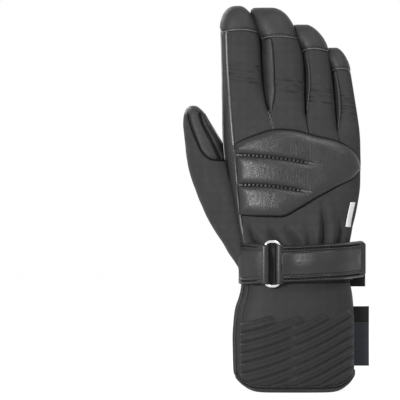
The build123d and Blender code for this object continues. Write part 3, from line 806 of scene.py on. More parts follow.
def index_piping_angle(f, z):
    """The index finger's thumb-side seam, which follows the hand's piping."""
    mid, (reach, power, _), _ = finger_sides(f, z)
    share = np.clip((mid - through(z, PIPING_LINE)) / reach, 0.05, 0.98)
    return np.arccos(share ** (power / 2)) - math.pi


def cap_seam(f, theta):
    """The height of the tip cap's seam: low on the back, and an arch over the palm panel."""
    cap_back, cap_side = f.dome * CAP_BACK_SHARE, CAP_PALM + CAP_ARCH
    back = ease(0.35 - np.sin(theta))
    side_dip = 2.2 * np.cos(theta) ** 2 * back
    corner = (1 - PALM_SEAM_WIDTH / (f.tip_width / 2)) ** (FINGER_POWER / 2)
    arch = np.sqrt(np.clip(1 - (np.cos(theta) / corner) ** 2, 0.0, 1.0)) * (np.sin(theta) > 0)
    return f.top - cap_side + CAP_ARCH * arch - (cap_back - cap_side) * back - side_dip


def finger_rows(f, low_seam, high_seam, count):
    """A grid of angle and height between two seams, from the hand's cut to the tip cap's seam."""
    share = np.linspace(0.0, 1.0, count)[:, None]
    across = np.linspace(0.0, 1.0, max(6, int(abs(high_seam - low_seam).max() * f.width / 2 / 0.8)))[None, :]
    theta = low_seam + (high_seam - low_seam) * across + 0 * share
    return theta, CUT_Z + (cap_seam(f, theta) - CUT_Z) * share


def crease_heights(f, points):
    """The fine creases across a finger's back over its middle knuckle."""
    x, z = points[..., 0], points[..., 2]
    heights = np.zeros(x.shape)
    for k in range(6):
        stray = 0.5 * math.sin(k * 2.3)
        line = KNUCKLE_CREASE[f.name] + (k - 2.5) * CREASE_PITCH - 0.14 * (x - finger_mid(f, z)) + stray
        faded = 0.4 + 0.9 * crumple(points * (1, 0, 0.15), 6.0, k + 0.5)
        gap = z - line
        swell_and_groove = 0.25 * bell(gap + 1.3, 0.6) - bell(gap, 0.62)
        heights += CREASE_DEPTH * np.clip(faded, 0.0, 1.0) * swell_and_groove
    return heights


def finger_piece(f, part, points, height, finish, nodes, closed=False):
    """One piece of a finger."""
    obj = make_panel(f"{f.name}_{part}", lift(points, height, closed), finish, closed)
    bend_finger(obj, nodes)


def bend_finger(obj, nodes=()):
    """The piece's place is baked into its mesh, and the CAD nodes it stands for are hidden."""
    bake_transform(obj)
    dress(nodes)


def make_finger_panels(f):
    """A finger's back panel, palm panel and two side walls, with knuckle creases."""
    left_line, right_line = BACK_SEAMS[f.name]
    rows = int((f.top - CUT_Z) / 0.5)
    level = np.linspace(CUT_Z, f.top - f.dome * CAP_BACK_SHARE, rows)[:, None]
    bl = seam_angle(f, level, True, left_line) if left_line else index_piping_angle(f, level)
    br = seam_angle(f, level, False, right_line)
    pr = seam_angle(f, level, False, PALM_SEAM_IN, True)
    pl = seam_angle(f, level, True, PALM_SEAM_IN, True)
    panels = [
        ("back", bl, br, "softshell", "softshell", ("back_panel", "bend_zone", "insulation"), 0.25),
        ("palm", pr, pl, "palm", "palm_leather", ("palm_panel", "lining"), 0.3),
        ("outer_wall", br, pr, "palm", "palm_leather", ("side_walls",), 0.0),
        ("inner_wall", pl, bl + 2 * math.pi, "palm", "palm_leather", (), 0.0),
    ]
    for part, start, stop, finish, slot, nodes, puff in panels:
        theta, z = finger_rows(f, start, stop, rows)
        points = finger_skin(f, theta, z)
        height = edge_roll(points, ("high",))
        for side, crotch, outer in zip(("left", "right"), PARTING[f.name], (f.outer_left, f.outer_right)):
            roll = edge_roll(points, (side,))
            if part == "back" and not outer:
                roll = roll * ease((z - crotch + CROTCH_FADE / 2) / CROTCH_FADE)
            height = np.minimum(height, roll)
        height += puff * (1 + crumple(points, 14.0, 5.0))
        height += uneven(points, "finger")
        if part == "back":
            height += crease_heights(f, points)
        else:
            height *= ease((z - CUT_Z) / ROOT_FADE)
        if part == "palm":
            height += palm_creases(f, points)
        finger_piece(f, part, points, height, finish, [f"{f.name}_{n}" for n in nodes])


def make_finger_cap(f):
    """A finger's leather tip cap, with the rolled edge and the stitches along its seam on the back."""
    theta = np.linspace(-math.pi, math.pi, 96, endpoint=False)[None, :]
    share = np.sin(np.linspace(0.0, math.pi / 2, 40))[:, None]
    z = cap_seam(f, theta) + (f.top - cap_seam(f, theta)) * share
    points = finger_skin(f, theta, z)
    height = edge_roll(points, ("low",)) + 0.35 * (1 + crumple(points, 12.0, f.x)) * (1 - share ** 6)
    finger_piece(f, "tip_cap", points, height, "palm", [f"{f.name}_tip_cap"], True)
    edge_line = lift_line(f, theta[0], cap_seam(f, theta[0]) + 0.4, 0.1)
    # the cap's edge cord takes the lighter piping colour, a painted highlight along the cap seam
    obj = make_piece(f"{f.name}_cap_edge", *rod(edge_line[6:46], 0.42, 8), "piping")
    bend_finger(obj)
    cap_line = lift_line(f, theta[0], cap_seam(f, theta[0]) + 2.2, 0.35)
    shapes = stitches(cap_line[8:44], 2.4, 1.6, 0.25)
    obj = make_piece(f"{f.name}_cap_stitches", *join_shapes(shapes), "thread")
    bend_finger(obj)


def lift_line(f, theta, z, height):
    """A line over a finger's skin at a stand-off."""
    here = finger_skin(f, theta, z)
    middle = np.stack([finger_mid(f, z), np.full(z.shape, f.y), z], axis=-1)
    return here + unit(here - middle) * (np.zeros(z.shape) + height)[..., None]


def palm_creases(f, points):
    """Soft cross folds where the palm side of a finger flexes."""
    z = points[..., 2]
    middle = KNUCKLE_CREASE[f.name]
    heights = np.zeros(z.shape)
    for k in range(16):
        at = middle - 30 + 3.6 * k + 1.3 * math.sin(k * 2.7)
        line = at + 1.1 * crumple(points * (1, 0, 0), 8.0, at)
        faded = 0.5 + crumple(points * (1, 0, 0.1), 6.0, k + 0.3)
        heights -= 0.34 * np.clip(faded, 0.0, 1.0) * bell(z - line, 0.7)
    return heights


# the zigzag stitches beside the index finger's crotch: how far inside its wall, and between which heights
FORK_INSET = [(170, 1.2), (284, 1.2)]
FORK_LOW, FORK_HIGH = 192.5, 206.5
# the angle at which the second line of piping runs down the index finger and the hand
SIDE_LINE = -math.pi + 0.30


def make_piping(fingers):
    """The two lines of piping down the thumb side, split where the index finger leaves the hand."""
    index = fingers[0]
    levels = np.linspace(CUT_Z, index.top - index.dome * 0.8, 60)
    angle = index_piping_angle(index, levels[:, None])[:, 0]
    tuck = 1.6 * ease((levels - levels[-1] + 4.0) / 4.0)
    upper = lift_line(index, angle, levels, 0.3 - tuck)
    side = lift_line(index, np.full(60, SIDE_LINE), levels, 0.1 - tuck)
    radius = size("piping")
    # the piping cords take the lighter piping colour, a painted highlight along them
    obj = make_piece("index_piping", *join_shapes([rod(upper, radius), rod(side, radius * 0.7)]), "piping")
    bend_finger(obj)
    levels = np.linspace(FORK_LOW, FORK_HIGH, 20)
    fork = lift_line(index, seam_angle(index, levels, False, FORK_INSET), levels, 0.7)
    fork[:, 0] += 0.5 * np.where(np.arange(20) // 2 % 2, 1, -1)
    bend_finger(make_piece("index_fork_stitches", *rod(fork, 0.3, 6), "piping"))
    levels = np.linspace(HAND_LOW, CUT_Z, 50)
    lower = on_hand(through(levels, PIPING_LINE), levels, False, 0.3)
    side = hand_skin(np.full(50, SIDE_LINE), levels)
    # the hand's piping cord takes the lighter piping colour, a painted highlight along it
    fit(make_piece("hand_piping", *rod(lower, radius), "piping"), "hand", "pad_leather")
    fit(make_piece("hand_side_seam", *rod(side, radius * 0.55), "thread"), "hand", None)


# ---------------------------------------------------------------- hand panels
SIDE_SEAM = -0.14
WRIST_FOLDS = [
    # points in X and Z of each fold, and its share of the fold depth
    ([(-22.5, 125.0), (-19.8, 117.0), (-15.0, 108.0)], 1.1),
    ([(-5.5, 122.5), (-3.8, 116.0), (0.0, 108.0)], 0.85),
    ([(7.5, 120.0), (10.8, 114.5), (15.0, 108.0)], 0.9),
    ([(23.0, 121.0), (24.2, 115.0), (24.0, 108.0)], 0.4),
    ([(33.4, 138.0), (34.6, 128.0), (34.0, 108.0)], 1.1),
    ([(47.5, 126.0), (47.0, 118.0), (45.0, 108.0)], 0.75),
]


def fold_heights(points):
    """Soft valleys above the wrist strap, with rounded swells between them."""
    x, z = points[..., 0], points[..., 2]
    total = np.zeros(x.shape)
    for line, share in WRIST_FOLDS:
        gap, along = line_gap(x, z, smooth_line(line, 12))
        total -= share * (0.3 + 0.7 * ease(along * 1.6)) * bell(gap, 2.1)
        total += 0.5 * share * ease(along * 2.0) * bell(gap - 5.4, 3.4)
    return size("fold") * total


def make_hand():
    """The hand's back panel, thumb-side strip and palm leather."""
    rows = 150
    z = np.linspace(HAND_LOW, CUT_Z + 1.5, rows)[:, None]
    tuck = -0.6 * ease((z - CUT_Z + 0.2) / 1.4)
    piping = oval_angle(hand_section, HAND_POWER, through(z, PIPING_LINE), z, False)
    across = np.linspace(0.0, 1.0, 150)[None, :]
    theta = piping + (SIDE_SEAM - piping) * across
    points = hand_skin(theta, z)
    back = points[..., 1] < -6
    height = edge_roll(points, ("left", "right")) + np.where(back, fold_heights(points), 0.0)
    height += uneven(points, "hand_back") + tuck
    fit(make_panel("hand_back", lift(points, height), "softshell"), "hand", "softshell",
        "hand_back_panel", "hand_insulation")
    theta = -math.pi + (piping + math.pi) * np.linspace(0.0, 1.0, 24)[None, :]
    points = hand_skin(theta, z)
    height = edge_roll(points, ("right",)) + uneven(points, "side_strip") + tuck
    fit(make_panel("hand_side_strip", lift(points, height), "palm"), "hand", "palm_leather",
        "thumb_saddle_panel")
    theta = SIDE_SEAM + (math.pi - SIDE_SEAM) * np.linspace(0.0, 1.0, 170)[None, :]
    points = hand_skin(theta, z)
    height = edge_roll(points, ("left",)) + uneven(points, "palm") + tuck + palm_gathers(points)
    fit(make_panel("hand_palm", lift(points, height), "palm"), "hand", "palm_leather", "hand_palm_panel")


ELASTIC_Z = 74.5
GATHER_Z = 84.0
GATHER_REACH = 26.0


def zigzag_sink(points, deep):
    """How far the cloth sinks beside the wrist elastic, up to a zigzag edge."""
    x, z = points[..., 0], points[..., 2]
    wander = x + 2.0 * crumple(points * (1, 0, 0), 11.0, 2.0)
    teeth = np.abs((wander / 7.6) % 1.0 - 0.5) * 2
    reach = 4.6 + 4.2 * teeth
    return deep * ease((reach - np.abs(z - ELASTIC_Z)) / 1.4)


def gathers(points, near, pitch, wander, deep):
    """Upright puckers on the palm side beside the wrist elastic, as strong as a place is near it."""
    x, y = points[..., 0], points[..., 1]
    phase = 2 * math.pi * x / pitch + wander * crumple(points * (1, 0, 1), 12.0, 5.0)
    return ease((y - 3) / 8.0) * (deep * near * np.sin(phase) - zigzag_sink(points, 1.5))


def palm_gathers(points):
    """Puckers that fan out over the palm from the wrist elastic."""
    near = 1 - ease((points[..., 2] - GATHER_Z) / GATHER_REACH)
    return gathers(points, near, 8.5, 1.4, 0.8)


# ---------------------------------------------------------------- knuckle pad
PAD_TOP = [(-31.0, 180.6), (-26.0, 184.0), (-18.5, 187.2), (-2.2, 192.2), (12.6, 191.7), (28.9, 187.5),
           (45.9, 183.0), (55.1, 177.2), (59.8, 169.5), (61.2, 163.5)]
PAD_BOTTOM = [(-26.6, 129.5), (-4.4, 128.4), (5.2, 128.6), (15.5, 133.9), (28.9, 142.0), (42.9, 149.9),
              (55.5, 156.8), (61.2, 163.5)]
PAD_STITCHES = [
    [(-27.6, 173.6), (-8.9, 172.2), (15.5, 168.9), (35.5, 164.6)],
    [(-26.8, 151.8), (-8.9, 151.0), (9.6, 148.7), (29.5, 144.6)],
]


RIM_REACH = 9.0
CHANNEL_REACH = 6.5
VALLEY_FLAT = 0.9
VALLEY_FLOOR = 0.42


def make_knuckle_pad():
    """The quilted knuckle pad: one leather cover over foam, stitched down along two lines."""
    across, up = 270, 130
    low = smooth_line(PAD_BOTTOM, across)
    high = smooth_line(PAD_TOP, across)
    share = np.linspace(0.0, 1.0, up)[:, None, None]
    flat = low[None] + (high - low)[None] * share
    x, z = flat[..., 0], flat[..., 1]
    rim = np.concatenate([low, high[::-1]])
    gap, _ = line_gap(x, z, np.concatenate([rim[::3], rim[:1]]))
    pillow = pillow_height(gap, RIM_REACH)
    for line in PAD_STITCHES:
        gap, along = line_gap(x, z, smooth_line(line, 16))
        close = pillow_height(np.clip(gap - VALLEY_FLAT, 0.0, None), CHANNEL_REACH)
        fade = ease((1 - along) * 3.4)
        pillow = np.minimum(pillow, VALLEY_FLOOR + (1 - VALLEY_FLOOR) * (close * fade + (1 - fade)))
    base = on_hand(x, z, False)
    height = 0.35 + size("quilt") * pillow
    wandering = 2.5 * crumple(base * (1, 1, 0.4), 9.0, 2.0)
    puckers = np.sin(x * 3.1 + wandering) * ease((x - 4) / 8.0) * ease((38 - x) / 9.0)
    lumps = 0.3 * crumple(base, 13.0, 1.0) + 0.06 * crumple(base * (2.2, 1, 1), 5.0, 6.0)
    height += pillow * (lumps + 0.028 * puckers)
    points = on_hand(x, z, False, height)
    obj = make_panel("knuckle_pad", points, "pad")
    fit(obj, "hand", "pad_leather", "knuckle_pad_cover", "knuckle_pad_foam")
    shapes = []
    for line in PAD_STITCHES:
        path = smooth_line(line, 60)
        over = 0.45 + size("quilt") * VALLEY_FLOOR
        shapes += stitches(on_hand(path[2:50, 0], path[2:50, 1], False, over), 3.0, 1.6, 0.6)
    fit_shapes("knuckle_pad_stitches", shapes, "thread", "hand")
    edge = on_hand(rim[:, 0], rim[:, 1], False, 0.4)
    fit_shapes("knuckle_pad_seam", [rod(np.concatenate([edge, edge[:1]]), 0.45, 6)], "thread", "hand")


def pillow_height(gap, reach):
    """0 at an edge and 1 well inside, round like a stuffed channel."""
    share = np.clip(gap / reach, 0.0, 1.0)
    return np.sqrt(np.clip(1 - (1 - share) ** 2.4, 0.0, 1.0))


# ---------------------------------------------------------------- palm grip
GRIP_LOW = 86.0
GRIP_SEAM = [(-17.0, GRIP_LOW), (-6.2, 97.5), (-0.6, 107.3), (0.2, 118.0), (-0.6, 129.5), (-5.2, 138.4),
             (-8.6, 144.3), (-18.6, 155.4), (-28.0, 168.0), (-34.0, 178.0)]
GRIP_FAR = 35.0
GRIP_TOP = 184.0
GRIP_CORNER = (-34.5, GRIP_TOP)
DOT_PITCH = 2.5
DOT_RADIUS = 0.72


def make_grip():
    """The rubberised grip on the palm, with rows of moulded dots."""
    up, across = 120, 90
    z = np.linspace(GRIP_LOW, GRIP_TOP, up)[:, None]
    left = through(z, [(b, a) for a, b in GRIP_SEAM + [GRIP_CORNER]])
    share = np.linspace(0.0, 1.0, across)[None, :]
    x = left + (GRIP_FAR - left) * share
    z = z - 7.0 * ease((x + 4) / 40.0) * ease((z - 150) / 34.0)
    points = on_hand(x, z, True, 0.7 + 0 * x)
    height = 0.7 + edge_roll(points, ("left", "right", "high"), *THIN_EDGE) + uneven(points, "palm")
    points = on_hand(x, z, True, height + palm_gathers(points) * 0.8)
    fit(make_panel("palm_grip_patch", points, "grip", flip=True, thickness=0.8), "hand", "grip", "palm_grip")
    # the grip's seam stitches take the pale dot colour: real stitches drawn pale as a painted highlight along
    # the seam
    for name, line in (("left", points[4:-3, 2]), ("top", points[-3, 2:-2])):
        shapes = stitches(line + (0.0, 0.45, 0.0), 2.2, 1.4, 0.36)
        fit_shapes(f"palm_grip_stitches_{name}", shapes, "dots", "hand")
    shapes = []
    top = [GRIP_CORNER] + list(zip(x[-1, 8::8], z[-1, 8::8]))
    outline = GRIP_SEAM + top + [(GRIP_FAR, 177.0), (GRIP_FAR, GRIP_LOW)]
    for row, dot_z in enumerate(np.arange(GRIP_LOW + 1.6, GRIP_TOP - 1.0, DOT_PITCH * 0.87)):
        xs = np.arange(-34.0, GRIP_FAR - 1.0, DOT_PITCH) + (row % 2) * DOT_PITCH / 2
        zs = np.full(xs.shape, dot_z)
        gap, _ = line_gap(xs, zs, outline + outline[:1])
        chosen = inside(xs, zs, outline) & (gap > 1.7)
        for dot_x in xs[chosen]:
            shapes.append(grip_dot(dot_x, dot_z))
    fit_shapes("palm_grip_dots", shapes, "dots", "hand", "grip")


def grip_dot(x, z):
    """One low round dot on the grip."""
    turns = np.linspace(0.0, 2 * math.pi, 7)[:-1]
    ring, inner = [on_hand(x + radius * np.cos(turns), z + radius * np.sin(turns), True, height)
                   for radius, height in ((DOT_RADIUS, 0.75), (0.5 * DOT_RADIUS, 1.45))]
    base = on_hand(np.array([x]), np.array([z]), True, 0.2)
    lie = palm_gathers(ring[None])[0] * 0.8 + uneven(ring, "palm")
    push = unit(inner - base) * lie[:, None]
    verts = np.concatenate([ring + push, inner + push])
    faces = [[i, (i + 1) % 6, 6 + (i + 1) % 6, 6 + i][::-1] for i in range(6)]
    return verts, faces + [[6, 7, 8, 9, 10, 11][::-1], [5, 4, 3, 2, 1, 0][::-1]]


# ---------------------------------------------------------------- thumb
THUMB_LEFT = [(84, -26.8), (89.5, -27.4), (94, -29.8), (101.4, -35.1), (108.8, -39.4), (114, -42.9),
              (122.8, -48.1), (130.6, -52.3), (139, -56.0), (146.9, -59.2), (159, -63.4), (169.5, -65.7),
              (186.5, -68.1), (196, -68.8), (203, -68.3), (211, -67.0)]
THUMB_RIGHT = [(84, -12.0), (112, -17.0), (135, -22.0), (150, -27.0), (166, -33.5), (176, -37.5),
               (185, -40.2), (188.7, -42.4), (193.9, -46.0), (199.4, -49.6), (207, -53.6), (211, -56.0)]
THUMB_HALF_DEPTH = [(84, 11.0), (100, 14.5), (120, 16.5), (145, 17.0), (170, 16.0), (190, 14.0), (205, 12.0),
                    (211, 11.0)]
THUMB_MID_Y = [(84, 0.0), (110, 3.0), (150, 5.0), (211, 5.0)]
THUMB_TOP = 210.6
THUMB_DOME = 9.0
THUMB_DOME_POWER = 2.7
THUMB_POWER = 2.2
# the plane in Y where the thumb's palm leather meets its back
THUMB_SPLIT_Y = 5.0
THUMB_SEAMS_BACK = [
    [(-66.4, 210.0), (-64.6, 199.8), (-60.9, 188.7), (-58.1, 182.4), (-54.8, 176.0), (-50.3, 171.6),
     (-47.0, 170.2), (-42.0, 169.9), (-34.0, 170.5)],
    [(-57.0, 210.0), (-53.8, 196.8), (-50.3, 189.9), (-47.4, 184.3), (-43.7, 176.9), (-41.0, 171.0)],
]
THUMB_SEAMS_PALM = [
    [(-62.5, 210.0), (-61.5, 198.0), (-57.5, 182.0), (-51.0, 166.0), (-42.0, 150.0), (-30.0, 134.0),
     (-14.0, 120.0)],
    [(-57.0, 210.0), (-54.0, 196.0), (-49.5, 184.0), (-43.5, 172.0), (-36.0, 160.0)],
]


def thumb_skin(theta, z):
    """A point of the thumb's skin: level ovals between its two side lines, domed at the tip."""
    theta, z = np.broadcast_arrays(theta, z)
    left, right = through(z, THUMB_LEFT), through(z, THUMB_RIGHT)
    share = np.clip((z - THUMB_TOP + THUMB_DOME) / THUMB_DOME, 0.0, 1.0)
    shrink = (1 - share ** THUMB_DOME_POWER) ** (1 / THUMB_DOME_POWER)
    across, deep = [signed_power(turn(theta), 2 / THUMB_POWER) for turn in (np.cos, np.sin)]
    x = (left + right) / 2 + (right - left) / 2 * shrink * across
    y = through(z, THUMB_MID_Y) + through(z, THUMB_HALF_DEPTH) * shrink * deep
    return np.stack([x, y, z], axis=-1)


def bend_thumb(obj, nodes=()):
    """The piece's place is baked into its mesh, and the CAD nodes it stands for are hidden."""
    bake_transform(obj)
    dress(nodes)


def make_thumb():
    """The thumb: a softshell back panel, leather bands round its tip, and the leather palm side."""
    z = np.concatenate([np.linspace(84.0, THUMB_TOP - THUMB_DOME, 200),
                        THUMB_TOP - THUMB_DOME + THUMB_DOME * np.sin(np.linspace(0.03, 1.54, 26))])
    theta = np.linspace(-math.pi, math.pi, 220, endpoint=False)[None, :]
    points = thumb_skin(theta, z[:, None])
    x, y, up = points[..., 0], points[..., 1], points[..., 2]
    back = y < through(up, THUMB_MID_Y)
    deep, wide = size("seam_depth"), size("seam_width") * 0.62
    height = uneven(points, "thumb")
    for on_back, lines in ((True, THUMB_SEAMS_BACK), (False, THUMB_SEAMS_PALM)):
        for line in lines:
            gap, _ = line_gap(x, up, smooth_line(line, 24))
            height -= np.where(back == on_back, deep * bell(gap, wide), 0.0)
    height -= thumb_folds(points)
    skin = lift(points, height * ease((THUMB_TOP - up) / 8.0), True)
    bands = smooth_line(THUMB_SEAMS_BACK[0], 40).tolist() + [(-20.0, 172.0), (-20.0, 230.0), (-66.4, 230.0)]

    def is_band(p):
        return (p[:, 1] < THUMB_SPLIT_Y) & (inside(p[:, 0], p[:, 2], bands) | (p[:, 2] > THUMB_TOP - 7.0))

    parts = [
        ("thumb_back", "softshell", "softshell", lambda p: (p[:, 1] < THUMB_SPLIT_Y) & ~is_band(p),
         ("thumb_back_panel", "thumb_bend_zone", "thumb_insulation")),
        ("thumb_bands", "palm", "palm_leather", is_band, ("thumb_tip_cap",)),
        ("thumb_palm", "palm", "palm_leather", lambda p: p[:, 1] >= THUMB_SPLIT_Y,
         ("thumb_palm_panel", "thumb_lining")),
    ]
    for name, finish, slot, keep, nodes in parts:
        bend_thumb(make_panel(name, skin, finish, True, keep=keep), nodes)
    make_thumb_seams()


def thumb_folds(points):
    """Long soft hollows in the web of the thumb."""
    x, z = points[..., 0], points[..., 2]
    total = np.zeros(x.shape)
    for line, deep in (([(-46.0, 160.0), (-41.0, 140.0), (-34.0, 120.0)], 0.9),
                       ([(-58.0, 165.0), (-52.0, 145.0), (-44.0, 125.0)], 0.5)):
        gap, _ = line_gap(x, z, smooth_line(line, 12))
        total += deep * bell(gap, 4.0)
    return total


def thumb_path(line, palm, height=-0.7, count=60):
    """A path over the thumb's skin under a line in X and Z."""
    flat = smooth_line(line, count)
    flat = flat[flat[:, 1] < THUMB_TOP - 5.0]
    left, right = through(flat[:, 1], THUMB_LEFT), through(flat[:, 1], THUMB_RIGHT)
    share = np.clip((flat[:, 0] - (left + right) / 2) / ((right - left) / 2), -0.97, 0.97)
    angle = np.arccos(signed_power(share, THUMB_POWER / 2)) * (1 if palm else -1)
    here = thumb_skin(angle, flat[:, 1])
    return here + np.array([0.0, height if palm else -height, 0.0])


def make_thumb_seams():
    """Sunk seam cords along the thumb's joins."""
    shapes = [rod(thumb_path(line, False), 0.4, 6) for line in THUMB_SEAMS_BACK]
    shapes += [rod(thumb_path(line, True), 0.4, 6) for line in THUMB_SEAMS_PALM]
    bend_thumb(make_piece("thumb_seams", *join_shapes(shapes), "thread"))
    edge = thumb_path([(-52.8, 204.5), (-47.8, 196.0), (-41.6, 185.5), (-38.5, 179.5)], False, 0.3)
    # the cord along the band's edge takes the lighter piping colour, a painted highlight along it
    bend_thumb(make_piece("thumb_edge_piping", *rod(edge, 0.55, 8), "piping"))


# ---------------------------------------------------------------- cuff
CUFF_POWER = 2.9
CUFF_TOP_Z = 80.0
CUFF_LEFT = [(0, -29.5), (10, -31.0), (26, -31.8), (52, -31.2), (62, -29.6), (68, -27.6), (74, -26.2),
             (80, -25.5)]
CUFF_RIGHT = [(0, 56.5), (13, 57.6), (40, 57.8), (60, 57.3), (72, 56.0), (80, 54.5)]
CUFF_HALF_DEPTH = [(0, 26.5), (40, 25.8), (62, 24.2), (74, 22.6), (80, 22.0)]
HEM_FLAT = 16.0
HEM_RISE = 12.5
BINDING = 3.4
# the ribs climb from the thumb edge by a slope and a bow, and the top one starts at a height
RIB_BOW = 0.00245
RIB_SLOPE = 0.20
RIB_FIRST = 52.8
# the angles of the side seams between the cuff's back and palm panels
CUFF_THUMB_SEAM = -math.pi + 0.16
CUFF_FAR_SEAM = -0.06


def cuff_section(z):
    """The cuff's middle, half width and half depth at a height."""
    left, right = through(z, CUFF_LEFT), through(z, CUFF_RIGHT)
    return (left + right) / 2, (right - left) / 2, through(z, CUFF_HALF_DEPTH)


def cuff_skin(theta, z):
    """A point of the cuff's skin."""
    return oval_skin(cuff_section, CUFF_POWER, theta, z)


def on_cuff(x, z, height=0.0, palm=True):
    """A point over the cuff's skin at a place."""
    x, z = np.broadcast_arrays(np.asarray(x, float), np.asarray(z, float))
    return on_oval(cuff_skin, oval_angle(cuff_section, CUFF_POWER, x, z, palm), z, height)


def hem_height(x):
    """The hem's height: level in the middle and rising to both side seams."""
    low, high = box("hem_tape")
    mid = (low.x + high.x) / 2
    share = np.clip((np.abs(x - mid) - HEM_FLAT) / 28.0, 0.0, 1.02)
    return HEM_RISE * share ** 4.4


def cuff_grid(theta, rows, top=CUFF_TOP_Z, rise=0.0):
    """A grid of the cuff between its curved hem and a level top."""
    base = cuff_skin(theta, np.full(theta.shape, 4.0))
    low = hem_height(base[..., 0]) + rise
    share = np.linspace(0.0, 1.0, rows)[:, None]
    z = low + (top - low) * share
    return cuff_skin(theta + 0 * share, z)


def rib_heights(points):
    """The embossed ribs: one curve repeated down the cuff, each with a narrow groove on either side."""
    x, z = points[..., 0], points[..., 2]
    left = CUFF_LEFT[2][1]
    run = x - left
    climb = RIB_SLOPE * run + RIB_BOW * run ** 2
    tops = 53.5 + 0.0013 * (x - 12) ** 2 + 0.05 * (x - 12)
    total = np.zeros(x.shape)
    for k in range(int(bpy.context.scene.glove_sizes.rib_count)):
        slope = RIB_SLOPE + 2 * RIB_BOW * run
        level = RIB_FIRST - k * size("rib_pitch") + climb
        share = (z - level) / (size("rib_pitch") / 2)
        body = np.clip(1 - np.abs(share) ** 5, 0.0, 1.0) * (0.85 + 0.3 * share) + 0.3 * bell(share - 0.5, 0.2)
        below_top = ease((tops + 0.8 - level - 0.5 * slope * (z - level)) / 1.1)
        total += size("rib") * body * (np.abs(share) < 1) * below_top
    inside_edge = ease((z - hem_height(x) - BINDING - 1.0) / 1.5) * ease((run - BINDING - 1.5) / 1.5)
    far = through(z, CUFF_RIGHT) - x
    return total * inside_edge * ease((far - 0.4) / 3.0)


def make_cuff():
    """The cuff's embossed back panel, palm panel, hem binding, lining and wrist elastic."""
    theta = np.linspace(CUFF_THUMB_SEAM, CUFF_FAR_SEAM, 222)[None, :]
    points = cuff_grid(theta, 222)
    back = edge_roll(points, ("left", "right", "low"), *THIN_EDGE)
    edge = np.minimum(points[..., 2] - hem_height(points[..., 0]), run_along(points, 1))
    back -= 1.1 * bell(edge - BINDING, 0.6)
    back += 1.0 * bell(edge - BINDING / 2, 1.1)
    height = back + rib_heights(points) + uneven(points, "cuff_back")
    fit(make_panel("cuff_back", lift(points, height), "cuff"), "hand", "cuff_fabric",
        "cuff_back_panel", "cuff_insulation")
    theta = np.linspace(CUFF_FAR_SEAM, CUFF_THUMB_SEAM + 2 * math.pi, 240)[None, :]
    points = cuff_grid(theta, 150)
    height = edge_roll(points, ("left", "right", "low"), *THIN_EDGE) + uneven(points, "cuff_palm")
    height += cuff_gathers(points)
    fit(make_panel("cuff_palm", lift(points, height), "cuff"), "hand", "cuff_fabric", "cuff_palm_panel")
    make_cuff_edging()
    make_hem()
    make_lining()
    make_elastic()


def make_cuff_edging():
    """Two rolled lines along the cuff's thumb-side edge and hem, where its binding is turned and stitched."""
    shapes = []
    for side, rise, radius in ((0.34, 1.7, 0.9), (0.60, 4.3, 0.6)):
        for palm in (False, True):
            turn = np.linspace(math.pi - side, 0.12, 150) * (1 if palm else -1)
            low = hem_height(cuff_skin(turn, np.full(150, 4.0))[:, 0]) + rise
            upper = np.linspace(low[0] + 8.0 if palm else 78.5, low[0] + 1.0, 60)
            angle = np.concatenate([np.full(60, turn[0]), turn])
            level = np.concatenate([upper, low])
            here = cuff_skin(angle, level)
            shapes.append(rod(on_cuff(here[:, 0], level, 0.15, palm), radius, 8))
    fit_shapes("cuff_edging", shapes, "palm", "hand", "cuff_fabric")


def cuff_gathers(points):
    """Puckers on the cuff's palm side under the wrist elastic."""
    return gathers(points, ease((points[..., 2] - 60) / 12.0), 9.0, 1.6, 0.6)


# the binding's section: how far inwards and how far up each of its points lies
HEM_PROFILE = [(0.8, 3.3), (0.4, 2.9), (0.0, 1.9), (0.0, 0.8), (0.3, 0.1), (1.0, 0.0), (2.6, 0.0), (4.0, 0.3),
               (4.6, 1.4), (4.2, 2.8), (2.4, 3.3)]


def make_hem():
    """The hem binding: a folded tape round the cuff's lower edge."""
    turns = np.linspace(0.0, 2 * math.pi, 160, endpoint=False)
    base = cuff_skin(turns, np.full(160, 4.0))
    low = hem_height(base[:, 0])
    outer = cuff_skin(turns, low + 0.1)
    mid = np.array([outer[:, 0].mean(), 0.0, 0.0])
    inward = unit((mid - outer) * (1, 1, 0))
    rings = [outer + inward * a + np.array([0, 0, 1.0]) * b for a, b in HEM_PROFILE]
    grid = np.stack(rings + rings[:1], axis=0)
    obj = make_panel("hem_binding", grid, "cuff", True, thickness=0.0)
    fit(obj, "hand", "webbing", "hem_tape")


LINING_DEPTH = 4.6


def make_lining():
    """The fleece lining bag, seen through the hand opening."""
    theta = np.linspace(-math.pi, math.pi, 120, endpoint=False)[None, :]
    cuff = cuff_grid(theta, 40, rise=2.5)
    hand = hand_skin(theta, np.linspace(CUFF_TOP_Z + 3, 166.0, 40)[:, None])
    points = np.concatenate([cuff, hand])
    points = lift(points, -LINING_DEPTH + uneven(points, "lining"), True)
    middle = points[-1].mean(axis=0)
    closing = [middle + (points[-1] - middle) * s + np.array([0, 0, 5.0 * (1 - s * s)])
               for s in (0.8, 0.5, 0.2, 0.0)]
    points = np.concatenate([points, np.stack(closing)])
    fit(make_panel("lining_bag", points, "lining", True, thickness=0.7), "hand", "lining", "hand_lining")


def make_elastic():
    """The wrist elastic on the palm side: a gathered channel between two wavy stitched lines."""
    low, high = box("wrist_elastic")
    x = np.linspace(low.x + 3, high.x - 3, 150)
    shapes = []
    for offset in (-1.35, 1.35):
        z = ELASTIC_Z + offset + 0.9 * np.sin(x / 6.2) + 0.35 * np.sin(x / 2.6 + 1)
        shapes.append(rod(on_cuff(x, z, 0.7 + 0.25 * np.sin(x / 1.4)), 1.05, 8))
    fit_shapes("wrist_elastic_channel", shapes, "cuff", "hand", "stretch_fabric", "wrist_elastic")


# ---------------------------------------------------------------- closure flap
FLAP_ROUND = 7.0
FLAP_TAPER = 5.0


